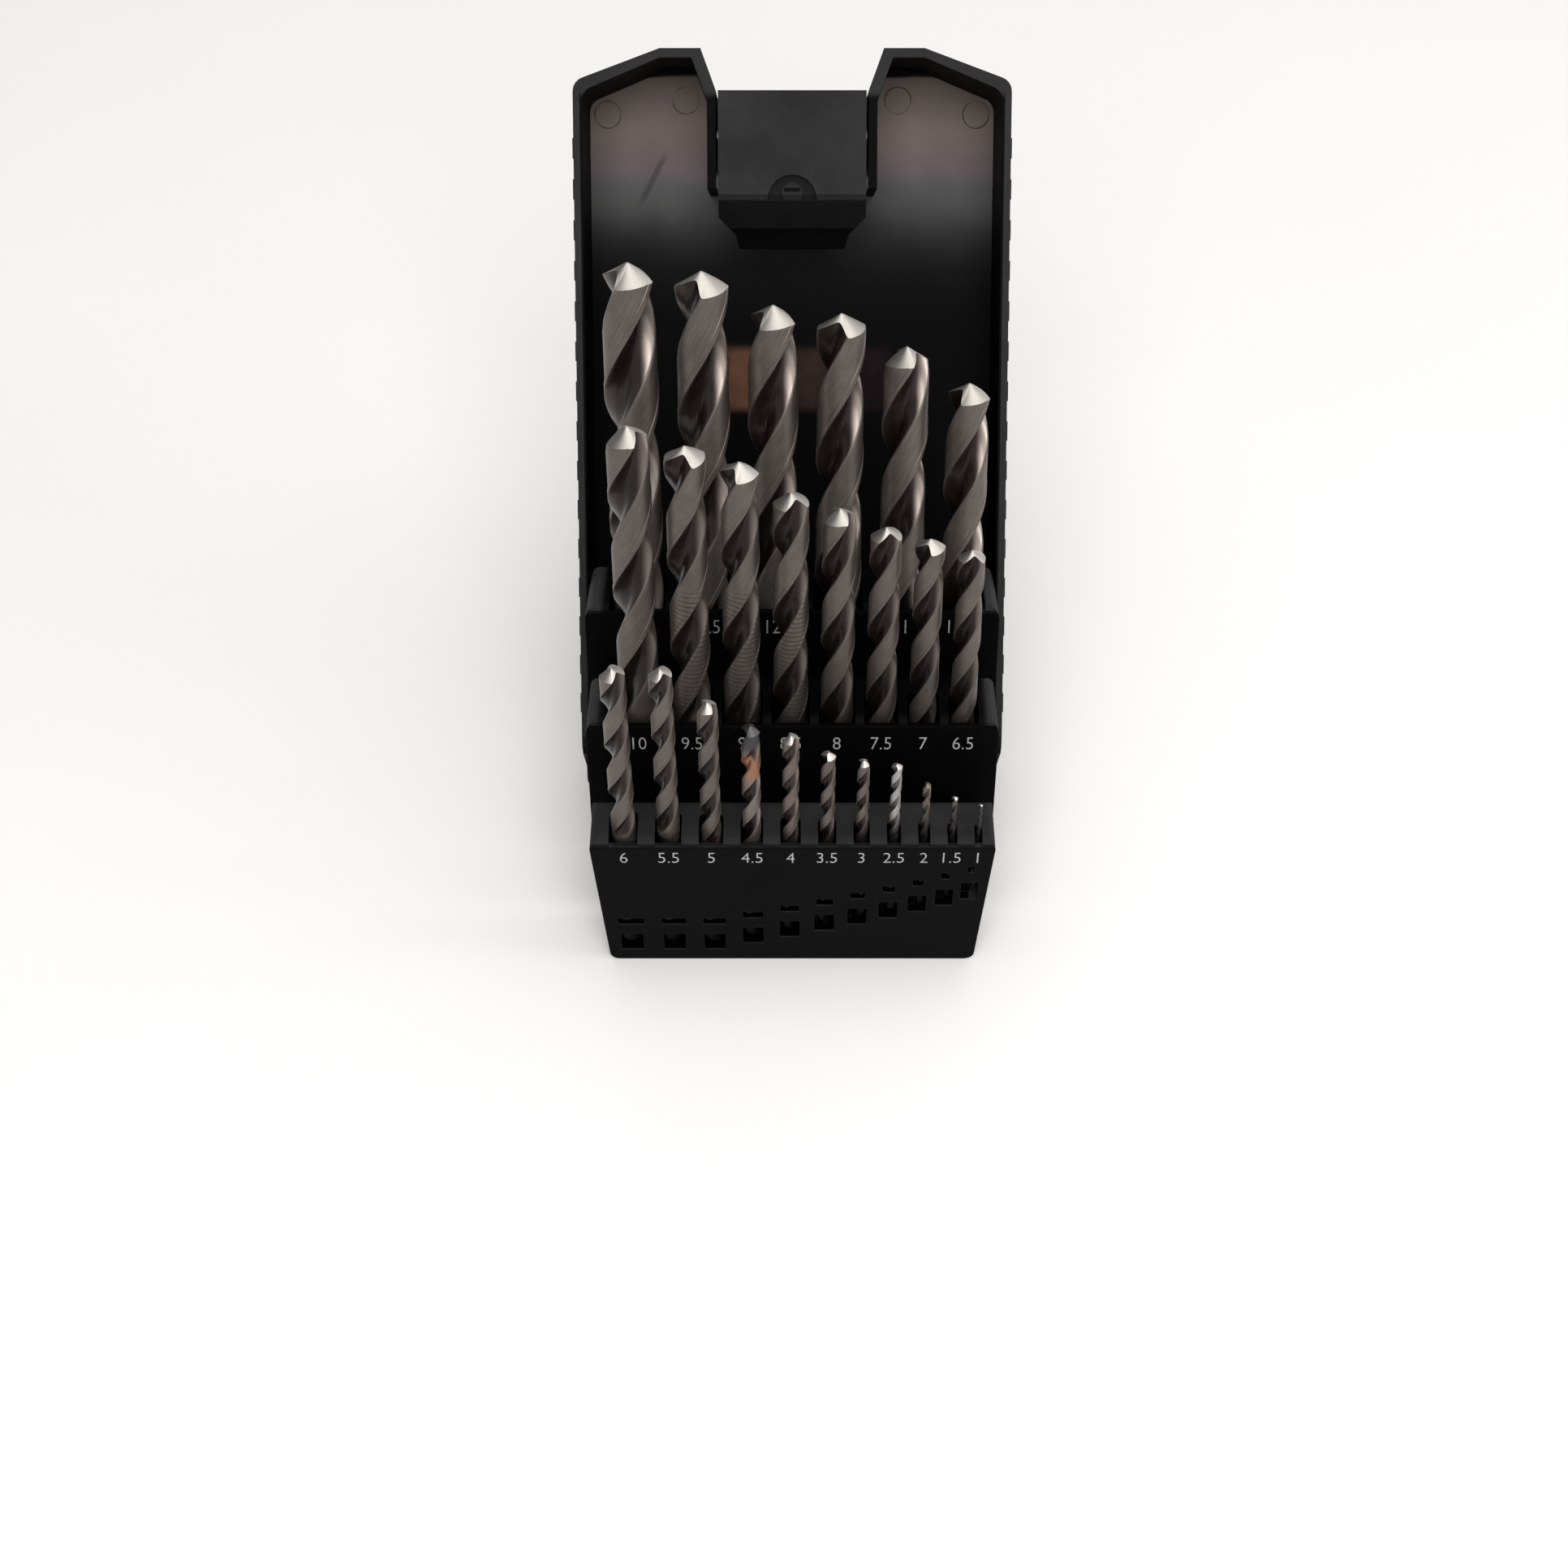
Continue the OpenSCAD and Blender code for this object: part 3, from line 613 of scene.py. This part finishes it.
# %% Drill steel
def drill_steel(name, land, hollow, tip, tint=None, lined=False, painted_highlight=0.3, dim=False):
    """Drill steel; the attribute `zone` holds flute, point and hollow in its three channels.

    `tint` is a rusty colour for one stretch of the bit, `lined` adds curved grinding lines,
    `painted_highlight` says how strong the painted silver highlight on the flutes' right is, and
    `dim` darkens the bit's foot.
    """
    m, tree, shader = new_material(name, land, 0.38, Metallic=0.6)
    zone = node(tree, "Attribute", attribute_name="zone")
    is_flute, is_tip, deep = node(tree, "SeparateColor", {"Color": zone.outputs["Color"]}).outputs
    wear = noise(tree, where(tree), 240, 5, 0.6)
    streak, share, height, right = place_on_bit(tree)
    lands = land_look(tree, land, wear, streak)
    if lined:
        lands = grinding_lines(tree, lands, share, height, hollow)
    flutes = flute_look(tree, land, hollow, deep, streak, right, painted_highlight)
    base = mix(tree, is_flute, lands, flutes)
    if tint is not None:
        base = rusty_stretch(tree, base, height, tint)
    if dim:
        rise = maths(tree, "MULTIPLY", between(tree, height, *DIM_UP), 0.5)
        base = mix(tree, maths(tree, "ADD", rise, 0.5), (0.01, 0.0085, 0.008), base)
    # painted shade on the shank, down inside its pocket
    pocket_shade = between(tree, height, POCKET_SHADE_UP[1], POCKET_SHADE_UP[0])
    base = mix(tree, pocket_shade, base, (0.03, 0.028, 0.027))
    # the ground point is bright, with painted shade on the flank that faces left
    ground = mix(tree, wear, times(tip, 0.85), tip)
    ground = mix(tree, between(tree, facing(tree, "X"), 0.1, -0.45), ground, times(tip, 0.22))
    base = mix(tree, is_tip, base, ground)
    tree.links.new(base, shader.inputs["Base Color"])
    rough = mix(tree, is_flute, (0.44, 0.44, 0.44), (0.27, 0.27, 0.27))
    rough = mix(tree, is_tip, rough, (0.38, 0.38, 0.38))
    rough = mix(tree, 0.2, rough, ramp(tree, streak, [(0.2, 0.1), (0.8, 0.8)]))
    tree.links.new(rough, shader.inputs["Roughness"])
    n = node(tree, "Bump", {"Height": streak}, Strength=0.10, Distance=0.0001)
    tree.links.new(n.outputs["Normal"], shader.inputs["Normal"])
    return m


# %% [markdown]
# The bits are not all alike. The rear row has the strongest painted highlight on its flutes, the
# middle row darkens towards its rack, and a few bits of the front row are rusty, rosy, bright or
# oiled.

# %% The drill steels
LAND = (0.122, 0.102, 0.091)
HOLLOW = (0.018, 0.0105, 0.0095)
TIP = (0.56, 0.53, 0.49)
steel = {
    "plain": drill_steel("drill_steel", LAND, HOLLOW, TIP, painted_highlight=0.2),
    "most_highlit": drill_steel("drill_steel_most_highlit", LAND, HOLLOW, TIP, painted_highlight=0.85),
    "dim": drill_steel("drill_steel_dim", LAND, HOLLOW, TIP, dim=True),
    "lined": drill_steel("drill_steel_lined", LAND, HOLLOW, TIP, lined=True, dim=True),
    "rusty": drill_steel("drill_steel_tinted", (0.18, 0.15, 0.137), HOLLOW, (0.08, 0.078, 0.08),
                         (0.30, 0.145, 0.075)),
    "rosy": drill_steel("drill_steel_rosy", (0.15, 0.115, 0.103), (0.034, 0.023, 0.022), TIP),
    "bright": drill_steel("drill_steel_bright", (0.38, 0.37, 0.36), (0.10, 0.095, 0.095), TIP,
                          painted_highlight=0.1),
    "green": drill_steel("drill_steel_oiled", (0.13, 0.108, 0.088), (0.04, 0.03, 0.024),
                         (0.16, 0.165, 0.09)),
}
print("steels:", ", ".join(steel))

# %% [markdown]
# ## Drill bits
#
# A twist drill is a round bar with two helical flutes. Each rack holds one row of them, biggest
# on the left. The sizes are those of the racks: a pocket is as wide as its bit plus some play,
# with a web of plastic between it and the next. Every bit is turned its own way.

# %% The bits' sizes and places
PLAY, HELIX, POINT = 0.8, 31.0, 118.0
FRONT_WALL = 1.5
ROWS = {
    "rear": {
        "d": [13, 12.5, 12, 11.5, 11, 10.5], "length": [143, 141, 133, 131, 123, 114],
        "turn": [49, 57, 37, 64, 166, 59], "web": 3.3, "shift": 1.2, "floor": [-2.0] * 6},
    "middle": {
        "d": [10, 9.5, 9, 8.5, 8, 7.5, 7, 6.5], "length": [128, 123, 119, 111, 107, 102, 99, 96],
        "turn": [61, 145, 94, 5, 26, 137, 42, 47], "web": 2.05, "shift": 1.25,
        "floor": [-2.0] * 8},
    "front": {
        "d": [6, 5.5, 5, 4.5, 4, 3.5, 3, 2.5, 2, 1.5, 1],
        "length": [94.5, 94.5, 84, 74, 68.5, 60.5, 55.5, 52, 43, 36, 31],
        "turn": [20, 87, 154, 41, 108, 175, 62, 129, 16, 83, 150], "web": 4.1, "shift": 0.7,
        "floor": [3.8 + 2.5 * max(0, i - 2) for i in range(11)]},
}


def pocket_x(row, i):
    cells = [d + PLAY + row["web"] for d in row["d"]]
    return sum(cells[:i]) + cells[i] / 2 - sum(cells) / 2 + row["shift"]


def pocket_deep(d):
    return d + PLAY + 2.6 * (1 - d / 16)


def bit_name(d):
    return "bit_" + f"{d:g}".replace(".", "_")


for key, row in ROWS.items():
    row["x"] = [pocket_x(row, i) for i in range(len(row["d"]))]
    print(key, "pockets at x =", [round(x, 1) for x in row["x"]])

# %% [markdown]
# The cross-section is the same all along a bit, only turned. It is written once for half a turn,
# as (share of the half turn, share of the radius): a rounded heel, a land a little below full
# size, a narrow margin at full size, and a deep flute that falls steeply from the cutting edge
# and rises gently to the next heel.

# %% Cross-section
EDGE_AT = 0.50    # where the land ends in its cutting edge
FLUTE_DEPTH = 0.615    # of the radius, at the flute's deepest
SECTION = [(0.0, 0.90), (0.02, 0.948), (0.05, 0.968), (0.425, 0.968), (0.437, 1.0), (0.50, 1.0),
           (0.507, 0.93), (0.53, 0.79), (0.565, 0.65), (0.62, 0.50), (0.69, 0.41), (0.76, 0.385),
           (0.82, 0.42), (0.88, 0.52), (0.93, 0.66), (0.97, 0.80)]


def section_points(per_side=42):
    """Shares of the half turn and of the radius, with every corner of the section kept."""
    t = np.array([p[0] for p in SECTION] + [1.0])
    r = np.array([p[1] for p in SECTION] + [SECTION[0][1]])
    at = np.unique(np.concatenate([t[:-1], np.linspace(0, 1, per_side, endpoint=False)]))
    near = np.diff(at) < 0.005
    corners = np.isin(at, t)
    keep = np.ones(len(at), bool)
    keep[1:][near & ~corners[1:]] = False
    keep[:-1][near & ~corners[:-1]] = False
    at = at[keep]
    return at, np.interp(at, t, r)


print("points round a bit:", 2 * len(section_points()[0]))

# %% [markdown]
# The mesh is built column by column, not ring by ring: each column of points runs up the bit
# until it meets the ground point, and then in along the point's cone to the middle. The line
# where the land ends and the point begins is therefore a line of the mesh, and stays crisp. The
# cone falls away behind each cutting edge, as on a ground bit, so that the edge itself is highest.
# Each face corner also keeps its zone for the steel's colours, its place round and up the bit for
# the grain, and its place to the right and to the back of the axis for the painted highlight.

# %% One bit
SLIM = 0.994      # keeps the fine bit just inside the frame's plain one
RELIEF = 0.17     # of the radius, how far the point falls away behind an edge
RUN_OUT = 0.8     # of the diameter, over which the flutes run out at the shank
SHANK_ROWS = 3    # rings of points before the flutes begin


def bit_mesh(name, d, length, turn, rings_per_lead=44):
    """Mesh of one bit in millimetres, standing on its shank end at the origin."""
    at, share = section_points()
    n = 2 * len(at)
    t = np.concatenate([at, at + 1])
    share = np.concatenate([share, share])
    lag = np.abs(2 * np.mod(t, 1.0) - 1)          # 0 at a cutting edge, 1 at a heel
    r = d / 2
    slope = math.tan(math.radians(POINT / 2))
    lead = math.pi * d / math.tan(math.radians(HELIX))
    start = length * (1 - (0.36 + 0.09 * math.sqrt(d)))    # bigger bits have longer flutes
    relief = RELIEF * r * lag * share
    meet = length - relief - share * r * SLIM / slope
    steps = max(24, int((length - start) / lead * rings_per_lead))
    rows = [(np.full(n, z), np.full(n, w)) for z, w in ((0, 0.93), (0.4, 1), (start - 1, 1))]
    rows += [(start + s * (meet - start), np.ones(n)) for s in np.linspace(0, 1, steps)]
    for q in (0.92, 0.8, 0.65, 0.5, 0.35, 0.2, 0.08):
        rows.append((length - relief * q - share * r * q / slope, np.full(n, q)))
    verts, deep = [], []
    for z, q in rows:
        blend = np.clip((z - start) / (RUN_OUT * d), 0, 1)
        blend = blend * blend * (3 - 2 * blend)
        radius = r * (1 + blend * (share - 1)) * SLIM * q
        a = t * math.pi + 2 * math.pi * z / lead + math.radians(turn)
        verts.append(np.stack([radius * np.cos(a), radius * np.sin(a), z], axis=1))
        deep.append((1 - share) / FLUTE_DEPTH * blend)
    verts, deep = np.concatenate(verts), np.concatenate(deep)
    count = len(rows)
    ring, k = np.meshgrid(np.arange(count - 1), np.arange(n), indexing="ij")
    low, nxt = ring * n + k, ring * n + (k + 1) % n
    quads = np.stack([low, nxt, nxt + n, low + n], axis=-1).reshape(-1, 4)
    ends = [tuple(range(n - 1, -1, -1)), tuple((count - 1) * n + j for j in range(n))]
    mesh = bpy.data.meshes.new(name)
    mesh.from_pydata(verts.tolist(), [], [tuple(q) for q in quads.tolist()] + ends)
    # zone of each face: flute, point, and how deep each corner lies
    flute_k = (np.mod(t + 1e-6, 1.0) >= EDGE_AT).astype(float)
    point = (ring >= SHANK_ROWS - 1 + steps).astype(float).ravel()
    flute = (flute_k[k] * (ring >= SHANK_ROWS)).ravel() * (1 - point)
    corner_deep = deep[quads.reshape(-1)].reshape(-1, 4)
    zone = np.zeros((len(quads), 4, 4), np.float32)
    zone[:, :, 0] = flute[:, None]
    zone[:, :, 1] = point[:, None]
    zone[:, :, 2] = corner_deep
    zone = np.concatenate([zone.reshape(-1, 4), np.tile([0, 0, 0, 0], (n, 1)),
                           np.tile([0, 1, 0, 0], (n, 1))]).astype(np.float32)
    zone[:, 3] = 1
    colour = mesh.color_attributes.new("zone", "FLOAT_COLOR", "CORNER")
    colour.data.foreach_set("color", zone.ravel())
    # grain coordinates: share round the bar, and height in centimetres
    height = verts[:, 2] / 10
    u = np.stack([k, k + 1, k + 1, k], axis=-1).reshape(-1) / n * 2
    v = height[quads.reshape(-1)]
    uv = np.concatenate([np.stack([u, v], axis=1), np.zeros((2 * n, 2))]).astype(np.float32)
    mesh.uv_layers.new(name="grain").data.foreach_set("uv", uv.ravel())
    # where a corner lies about the axis, as shares of the radius to the right and to the back
    place = np.concatenate([verts[quads.reshape(-1), :2] / r, np.zeros((2 * n, 2))])
    mesh.uv_layers.new(name="place").data.foreach_set("uv", place.astype(np.float32).ravel())
    return mesh


# %% [markdown]
# Each bit rides on its own body, so it can be lifted out of its pocket. Sharp edges are found by
# angle, which keeps the margins and the point crisp and the flutes smooth.

# %% Build the bits
def add(mesh, body, slot, *materials):
    """Links a mesh in place, gives it its materials and a body to ride on; `slot` is not used."""
    piece = bpy.data.objects.new(mesh.name, mesh)
    bpy.context.scene.collection.objects.link(piece)
    for material in materials:
        piece.data.materials.append(material)
    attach(piece, body)
    return piece


def sharpen(piece, degrees):
    mesh = piece.data
    mesh.polygons.foreach_set("use_smooth", [True] * len(mesh.polygons))
    mesh.set_sharp_from_angle(angle=math.radians(degrees))


FINISH = {9.5: "lined", 9: "lined", 8.5: "lined",
          4.5: "rusty", 4: "rosy", 2.5: "bright", 2: "green"}
ROW_FINISH = {"rear": "most_highlit", "middle": "dim", "front": "plain"}
bits = {}
for key, row in ROWS.items():
    for i, d in enumerate(row["d"]):
        mesh = bit_mesh(bit_name(d) + "_cut", d, row["length"][i], row["turn"][i])
        centre = RACK_FACE[key] + FRONT_WALL + pocket_deep(d) / 2
        mesh.transform(AT[key] @ Matrix.Translation(Vector((row["x"][i], centre, row["floor"][i]))))
        piece = add(mesh, bit_name(d), "drill_steel", steel[FINISH.get(d, ROW_FINISH[key])])
        sharpen(piece, 28)
        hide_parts(bit_name(d))
        bits[d] = piece
print("bits:", len(bits), "faces:", sum(len(b.data.polygons) for b in bits.values()))

# %% [markdown]
# ## Numbers on the racks
#
# The diameters are printed on each rack's face in a plain upright type, light grey, a little
# under 4 mm high. Each number is a flat mesh laid 0.02 mm proud of the face.

# %% Numbers
def printed_ink():
    """Light grey ink, worn thin in places."""
    m, tree, shader = new_material("ink", (0.36, 0.36, 0.36), 0.6)
    worn = ramp(tree, noise(tree, where(tree), 900, 3), [(0.4, 0.0), (0.7, 1.0)])
    tree.links.new(mix(tree, worn, (0.46, 0.46, 0.45), (0.30, 0.30, 0.30)),
                   shader.inputs["Base Color"])
    return m


ink = printed_ink()


def number(text, x, z, key, high=3.7, narrow=0.82):
    """One printed number on a rack, its middle at (x, z), with digits `high` mm tall."""
    curve = bpy.data.curves.new("number", "FONT")
    curve.body = text
    curve.size = 10
    curve.offset = -0.1    # strokes a little thinner than the font's own
    curve.resolution_u = 3
    holder = bpy.data.objects.new("number", curve)
    bpy.context.scene.collection.objects.link(holder)
    bpy.context.view_layer.update()
    mesh = bpy.data.meshes.new_from_object(holder)
    bpy.data.objects.remove(holder)
    xs = [v.co.x for v in mesh.vertices]
    ys = [v.co.y for v in mesh.vertices]
    k = high / (max(ys) - min(ys))
    to_size = Matrix.Diagonal((k * narrow, k, 1, 1)) @ Matrix.Translation(
        (-(min(xs) + max(xs)) / 2, -(min(ys) + max(ys)) / 2, 0))
    # the type lies in its own x-y plane: stand it up, facing the front
    stand = Matrix.Translation((x, RACK_FACE[key] - 0.02, z)) @ Matrix.Rotation(math.pi / 2, 4, "X")
    mesh.transform(AT[key] @ stand @ to_size)
    mesh.name = "number_" + text.replace(".", "_")
    return add(mesh, RACK_BODY[key], "drill_steel", ink)


NUMBER_UP = {"front": 39.6, "middle": 42.2, "rear": 51.3}
numbers = [number(f"{d:g}", row["x"][i], NUMBER_UP[key], key)
           for key, row in ROWS.items() for i, d in enumerate(row["d"])]
print("numbers:", len(numbers))

# %% [markdown]
# ## Lid details
#
# Ejector pins left four round marks at the top of the panel. Each is a disc in the panel's
# painted reflection inside a thin dark ring of painted shade, both a few hundredths of a
# millimetre proud of the panel.

# %% Ejector marks
def ejector_mark(name, x, up, radius=3.5, proud=0.05, segments=64):
    """A round mark: a flat disc, and a dark ring about it that slopes down to the panel."""
    profile = [(1.0, 0.0), (0.97, 0.8), (0.90, 1.0), (0.0, 1.0)]
    verts, faces = [], []
    for share, rise in profile:
        for k in range(segments):
            a = 2 * math.pi * k / segments
            verts.append((x + radius * share * math.cos(a), PANEL - proud * rise,
                          up + radius * share * math.sin(a)))
    for j in range(len(profile) - 1):
        for k in range(segments):
            a, b = j * segments + k, j * segments + (k + 1) % segments
            faces.append((a, b, b + segments, a + segments))
    mesh = bpy.data.meshes.new(name)
    mesh.from_pydata(verts, [], faces)
    mesh.polygons.foreach_set("material_index", [1] * (2 * segments) + [0] * segments)
    mesh.transform(AT["lid"])
    piece = add(mesh, "lid", "lid_plastic", panel_reflection_paint, ring_shade)
    sharpen(piece, 35)
    return piece


def mark_ring():
    """The dark ring about a mark, painted shade, which fades into the panel's painted reflection
    here and there.
    """
    m, tree, shader = new_material("mark_ring", (0.05, 0.04, 0.036), 0.5, Specular_IOR_Level=0.1)
    faded = ramp(tree, noise(tree, where(tree), 200, 2), [(0.38, 0.0), (0.62, 1.0)])
    tree.links.new(mix(tree, faded, (0.05, 0.041, 0.038), (0.165, 0.137, 0.126)),
                   shader.inputs["Base Color"])
    return m


ring_shade = mark_ring()
MARKS_AT = [(-46.8, 162.0), (-26.9, 165.5), (26.9, 165.5), (46.8, 162.0)]
marks = [ejector_mark(f"ejector_mark_{k}", x, up) for k, (x, up) in enumerate(MARKS_AT)]
print("ejector marks:", len(marks))

# %% [markdown]
# A plain patch of colour sits on the panel behind the rear bits: orange-brown at its left, then
# dark brown, then a purple that is nearly black. It has no sharp outline, so its colours run
# out into the panel's black near its borders.

# %% Patch
PATCH_X, PATCH_UP = (-20, 26), (86, 105.5)    # across and along the lid, in mm
PATCH_SHADES = [  # share of the patch's width, colour
    (0.0, BLACK), (0.06, (0.09, 0.045, 0.028)), (0.10, (0.145, 0.068, 0.044)),
    (0.20, (0.135, 0.062, 0.038)), (0.26, (0.02, 0.011, 0.008)), (0.55, (0.038, 0.025, 0.02)),
    (0.72, (0.024, 0.016, 0.013)), (0.82, (0.013, 0.0068, 0.0085)),
    (0.95, (0.012, 0.0065, 0.0085)), (1.0, BLACK),
]


def patch_colours():
    """Colours that change across the patch and run out into black at its borders."""
    m, tree, shader = new_material("patch", (0.1, 0.05, 0.03), 0.5, Specular_IOR_Level=0.03)
    x, _, up = lid_frame(tree)
    base = ramp(tree, share_of(tree, x, PATCH_X[0] * MM, PATCH_X[1] * MM), PATCH_SHADES)
    dull = ramp(tree, noise(tree, where(tree), 220, 3), [(0.3, 0.75), (0.7, 1.15)])
    base = mix(tree, 1.0, base, dull, "MULTIPLY")
    # the fade runs from 3.5 mm to 0.5 mm inside the lower and upper borders
    low, high = PATCH_UP
    inside = maths(tree, "MULTIPLY", between(tree, up, (low + 0.5) * MM, (low + 3.5) * MM),
                   between(tree, up, (high - 0.5) * MM, (high - 3.5) * MM))
    tree.links.new(mix(tree, inside, BLACK, base), shader.inputs["Base Color"])
    return m


def patch(x0, x1, u0, u1, corner=1.5):
    """A thin rounded rectangle on the panel."""
    outline = []
    for cx, cy, a0 in ((x1 - corner, u1 - corner, 0), (x0 + corner, u1 - corner, 90),
                       (x0 + corner, u0 + corner, 180), (x1 - corner, u0 + corner, 270)):
        for k in range(9):
            a = math.radians(a0 + 90 * k / 8)
            outline.append((cx + corner * math.cos(a), cy + corner * math.sin(a)))
    n = len(outline)
    verts = [(x, PANEL, u) for x, u in outline] + [(x, PANEL - 0.04, u) for x, u in outline]
    faces = [tuple(n + k for k in range(n))]
    faces += [(k, (k + 1) % n, n + (k + 1) % n, n + k) for k in range(n)]
    mesh = bpy.data.meshes.new("patch")
    mesh.from_pydata(verts, [], faces)
    mesh.transform(AT["lid"])
    return add(mesh, "lid", "lid_plastic", patch_colours())


print("patch faces:", len(patch(*PATCH_X, *PATCH_UP).data.polygons))

# %% [markdown]
# ## Studio
#
# A plain pale floor curves up into a backdrop. A very broad soft light hangs overhead, as a
# ceiling would, and gives the ground points and the upper faces their brightness. A second one,
# behind the camera, reaches the lid's panel, which the lid's own top wall shades from above. The
# world adds a weak even fill, so that the black plastic stays black.

# %% Floor
def floor():
    size, rise, radius, step = 3.0, 2.2, 0.7, 24
    line = [(-size, 0.0), (0.9, 0.0)]
    for k in range(1, step + 1):
        a = math.radians(90 * k / step)
        line.append((0.9 + radius * math.sin(a), radius * (1 - math.cos(a))))
    line.append((0.9 + radius, rise))
    verts, faces = [], []
    for y, z in line:
        verts += [(-size, y, z - 0.0001), (size, y, z - 0.0001)]
    for k in range(len(line) - 1):
        faces.append((2 * k, 2 * k + 1, 2 * k + 3, 2 * k + 2))
    mesh = bpy.data.meshes.new("floor")
    mesh.from_pydata(verts, [], faces)
    obj = bpy.data.objects.new("floor", mesh)
    bpy.context.scene.collection.objects.link(obj)
    m, tree, shader = new_material("paper", (0.9, 0.9, 0.9), 0.9, Specular_IOR_Level=0.1)
    soft = noise(tree, where(tree), 6, 2)
    tree.links.new(mix(tree, soft, (0.88, 0.88, 0.88), (0.92, 0.92, 0.92)),
                   shader.inputs["Base Color"])
    mesh.materials.append(m)
    mesh.polygons.foreach_set("use_smooth", [True] * len(mesh.polygons))
    return obj


print("floor width m:", round(floor().dimensions.x, 1))

# %% [markdown]
# The lights are areas, so every shadow is soft.

# %% Lights
def area(name, place, look_at, size, watts, colour=(1, 1, 1)):
    data = bpy.data.lights.new(name, "AREA")
    data.shape = "RECTANGLE"
    data.size, data.size_y = size
    data.energy = watts
    data.color = colour
    lamp = bpy.data.objects.new(name, data)
    bpy.context.scene.collection.objects.link(lamp)
    lamp.location = place
    lamp.rotation_euler = (Vector(look_at) - Vector(place)).to_track_quat("-Z", "Y").to_euler()
    return lamp


area("ceiling", (0.1, 0.2, 1.5), (0, 0.05, 0.05), (1.7, 1.7), 10.5, (1.0, 0.985, 0.96))
area("key", (0.0, -0.95, 1.2), (0, 0.05, 0.08), (1.2, 1.0), 14, (1.0, 0.99, 0.975))
area("side", (1.3, -0.1, 0.6), (0, 0.05, 0.08), (0.5, 0.9), 5)
world = bpy.data.worlds.new("world")
bpy.context.scene.world = world
world.use_nodes = True
FILL, BACKGROUND = 0.3, 0.9
sky = world.node_tree.nodes["Background"]
sky.inputs["Color"].default_value = (1, 1, 1, 1)
# seen directly or in metal the world is pale; as a light it stays a weak fill
rays = node(world.node_tree, "LightPath").outputs
seen = maths(world.node_tree, "ADD", rays["Is Camera Ray"], rays["Is Glossy Ray"])
seen = maths(world.node_tree, "MINIMUM", maths(world.node_tree, "ADD", seen,
                                               rays["Is Transmission Ray"]), 1.0)
strength = maths(world.node_tree, "ADD", FILL,
                 maths(world.node_tree, "MULTIPLY", seen, BACKGROUND - FILL))
world.node_tree.links.new(strength, sky.inputs["Strength"])
bpy.context.scene.view_settings.view_transform = "Standard"
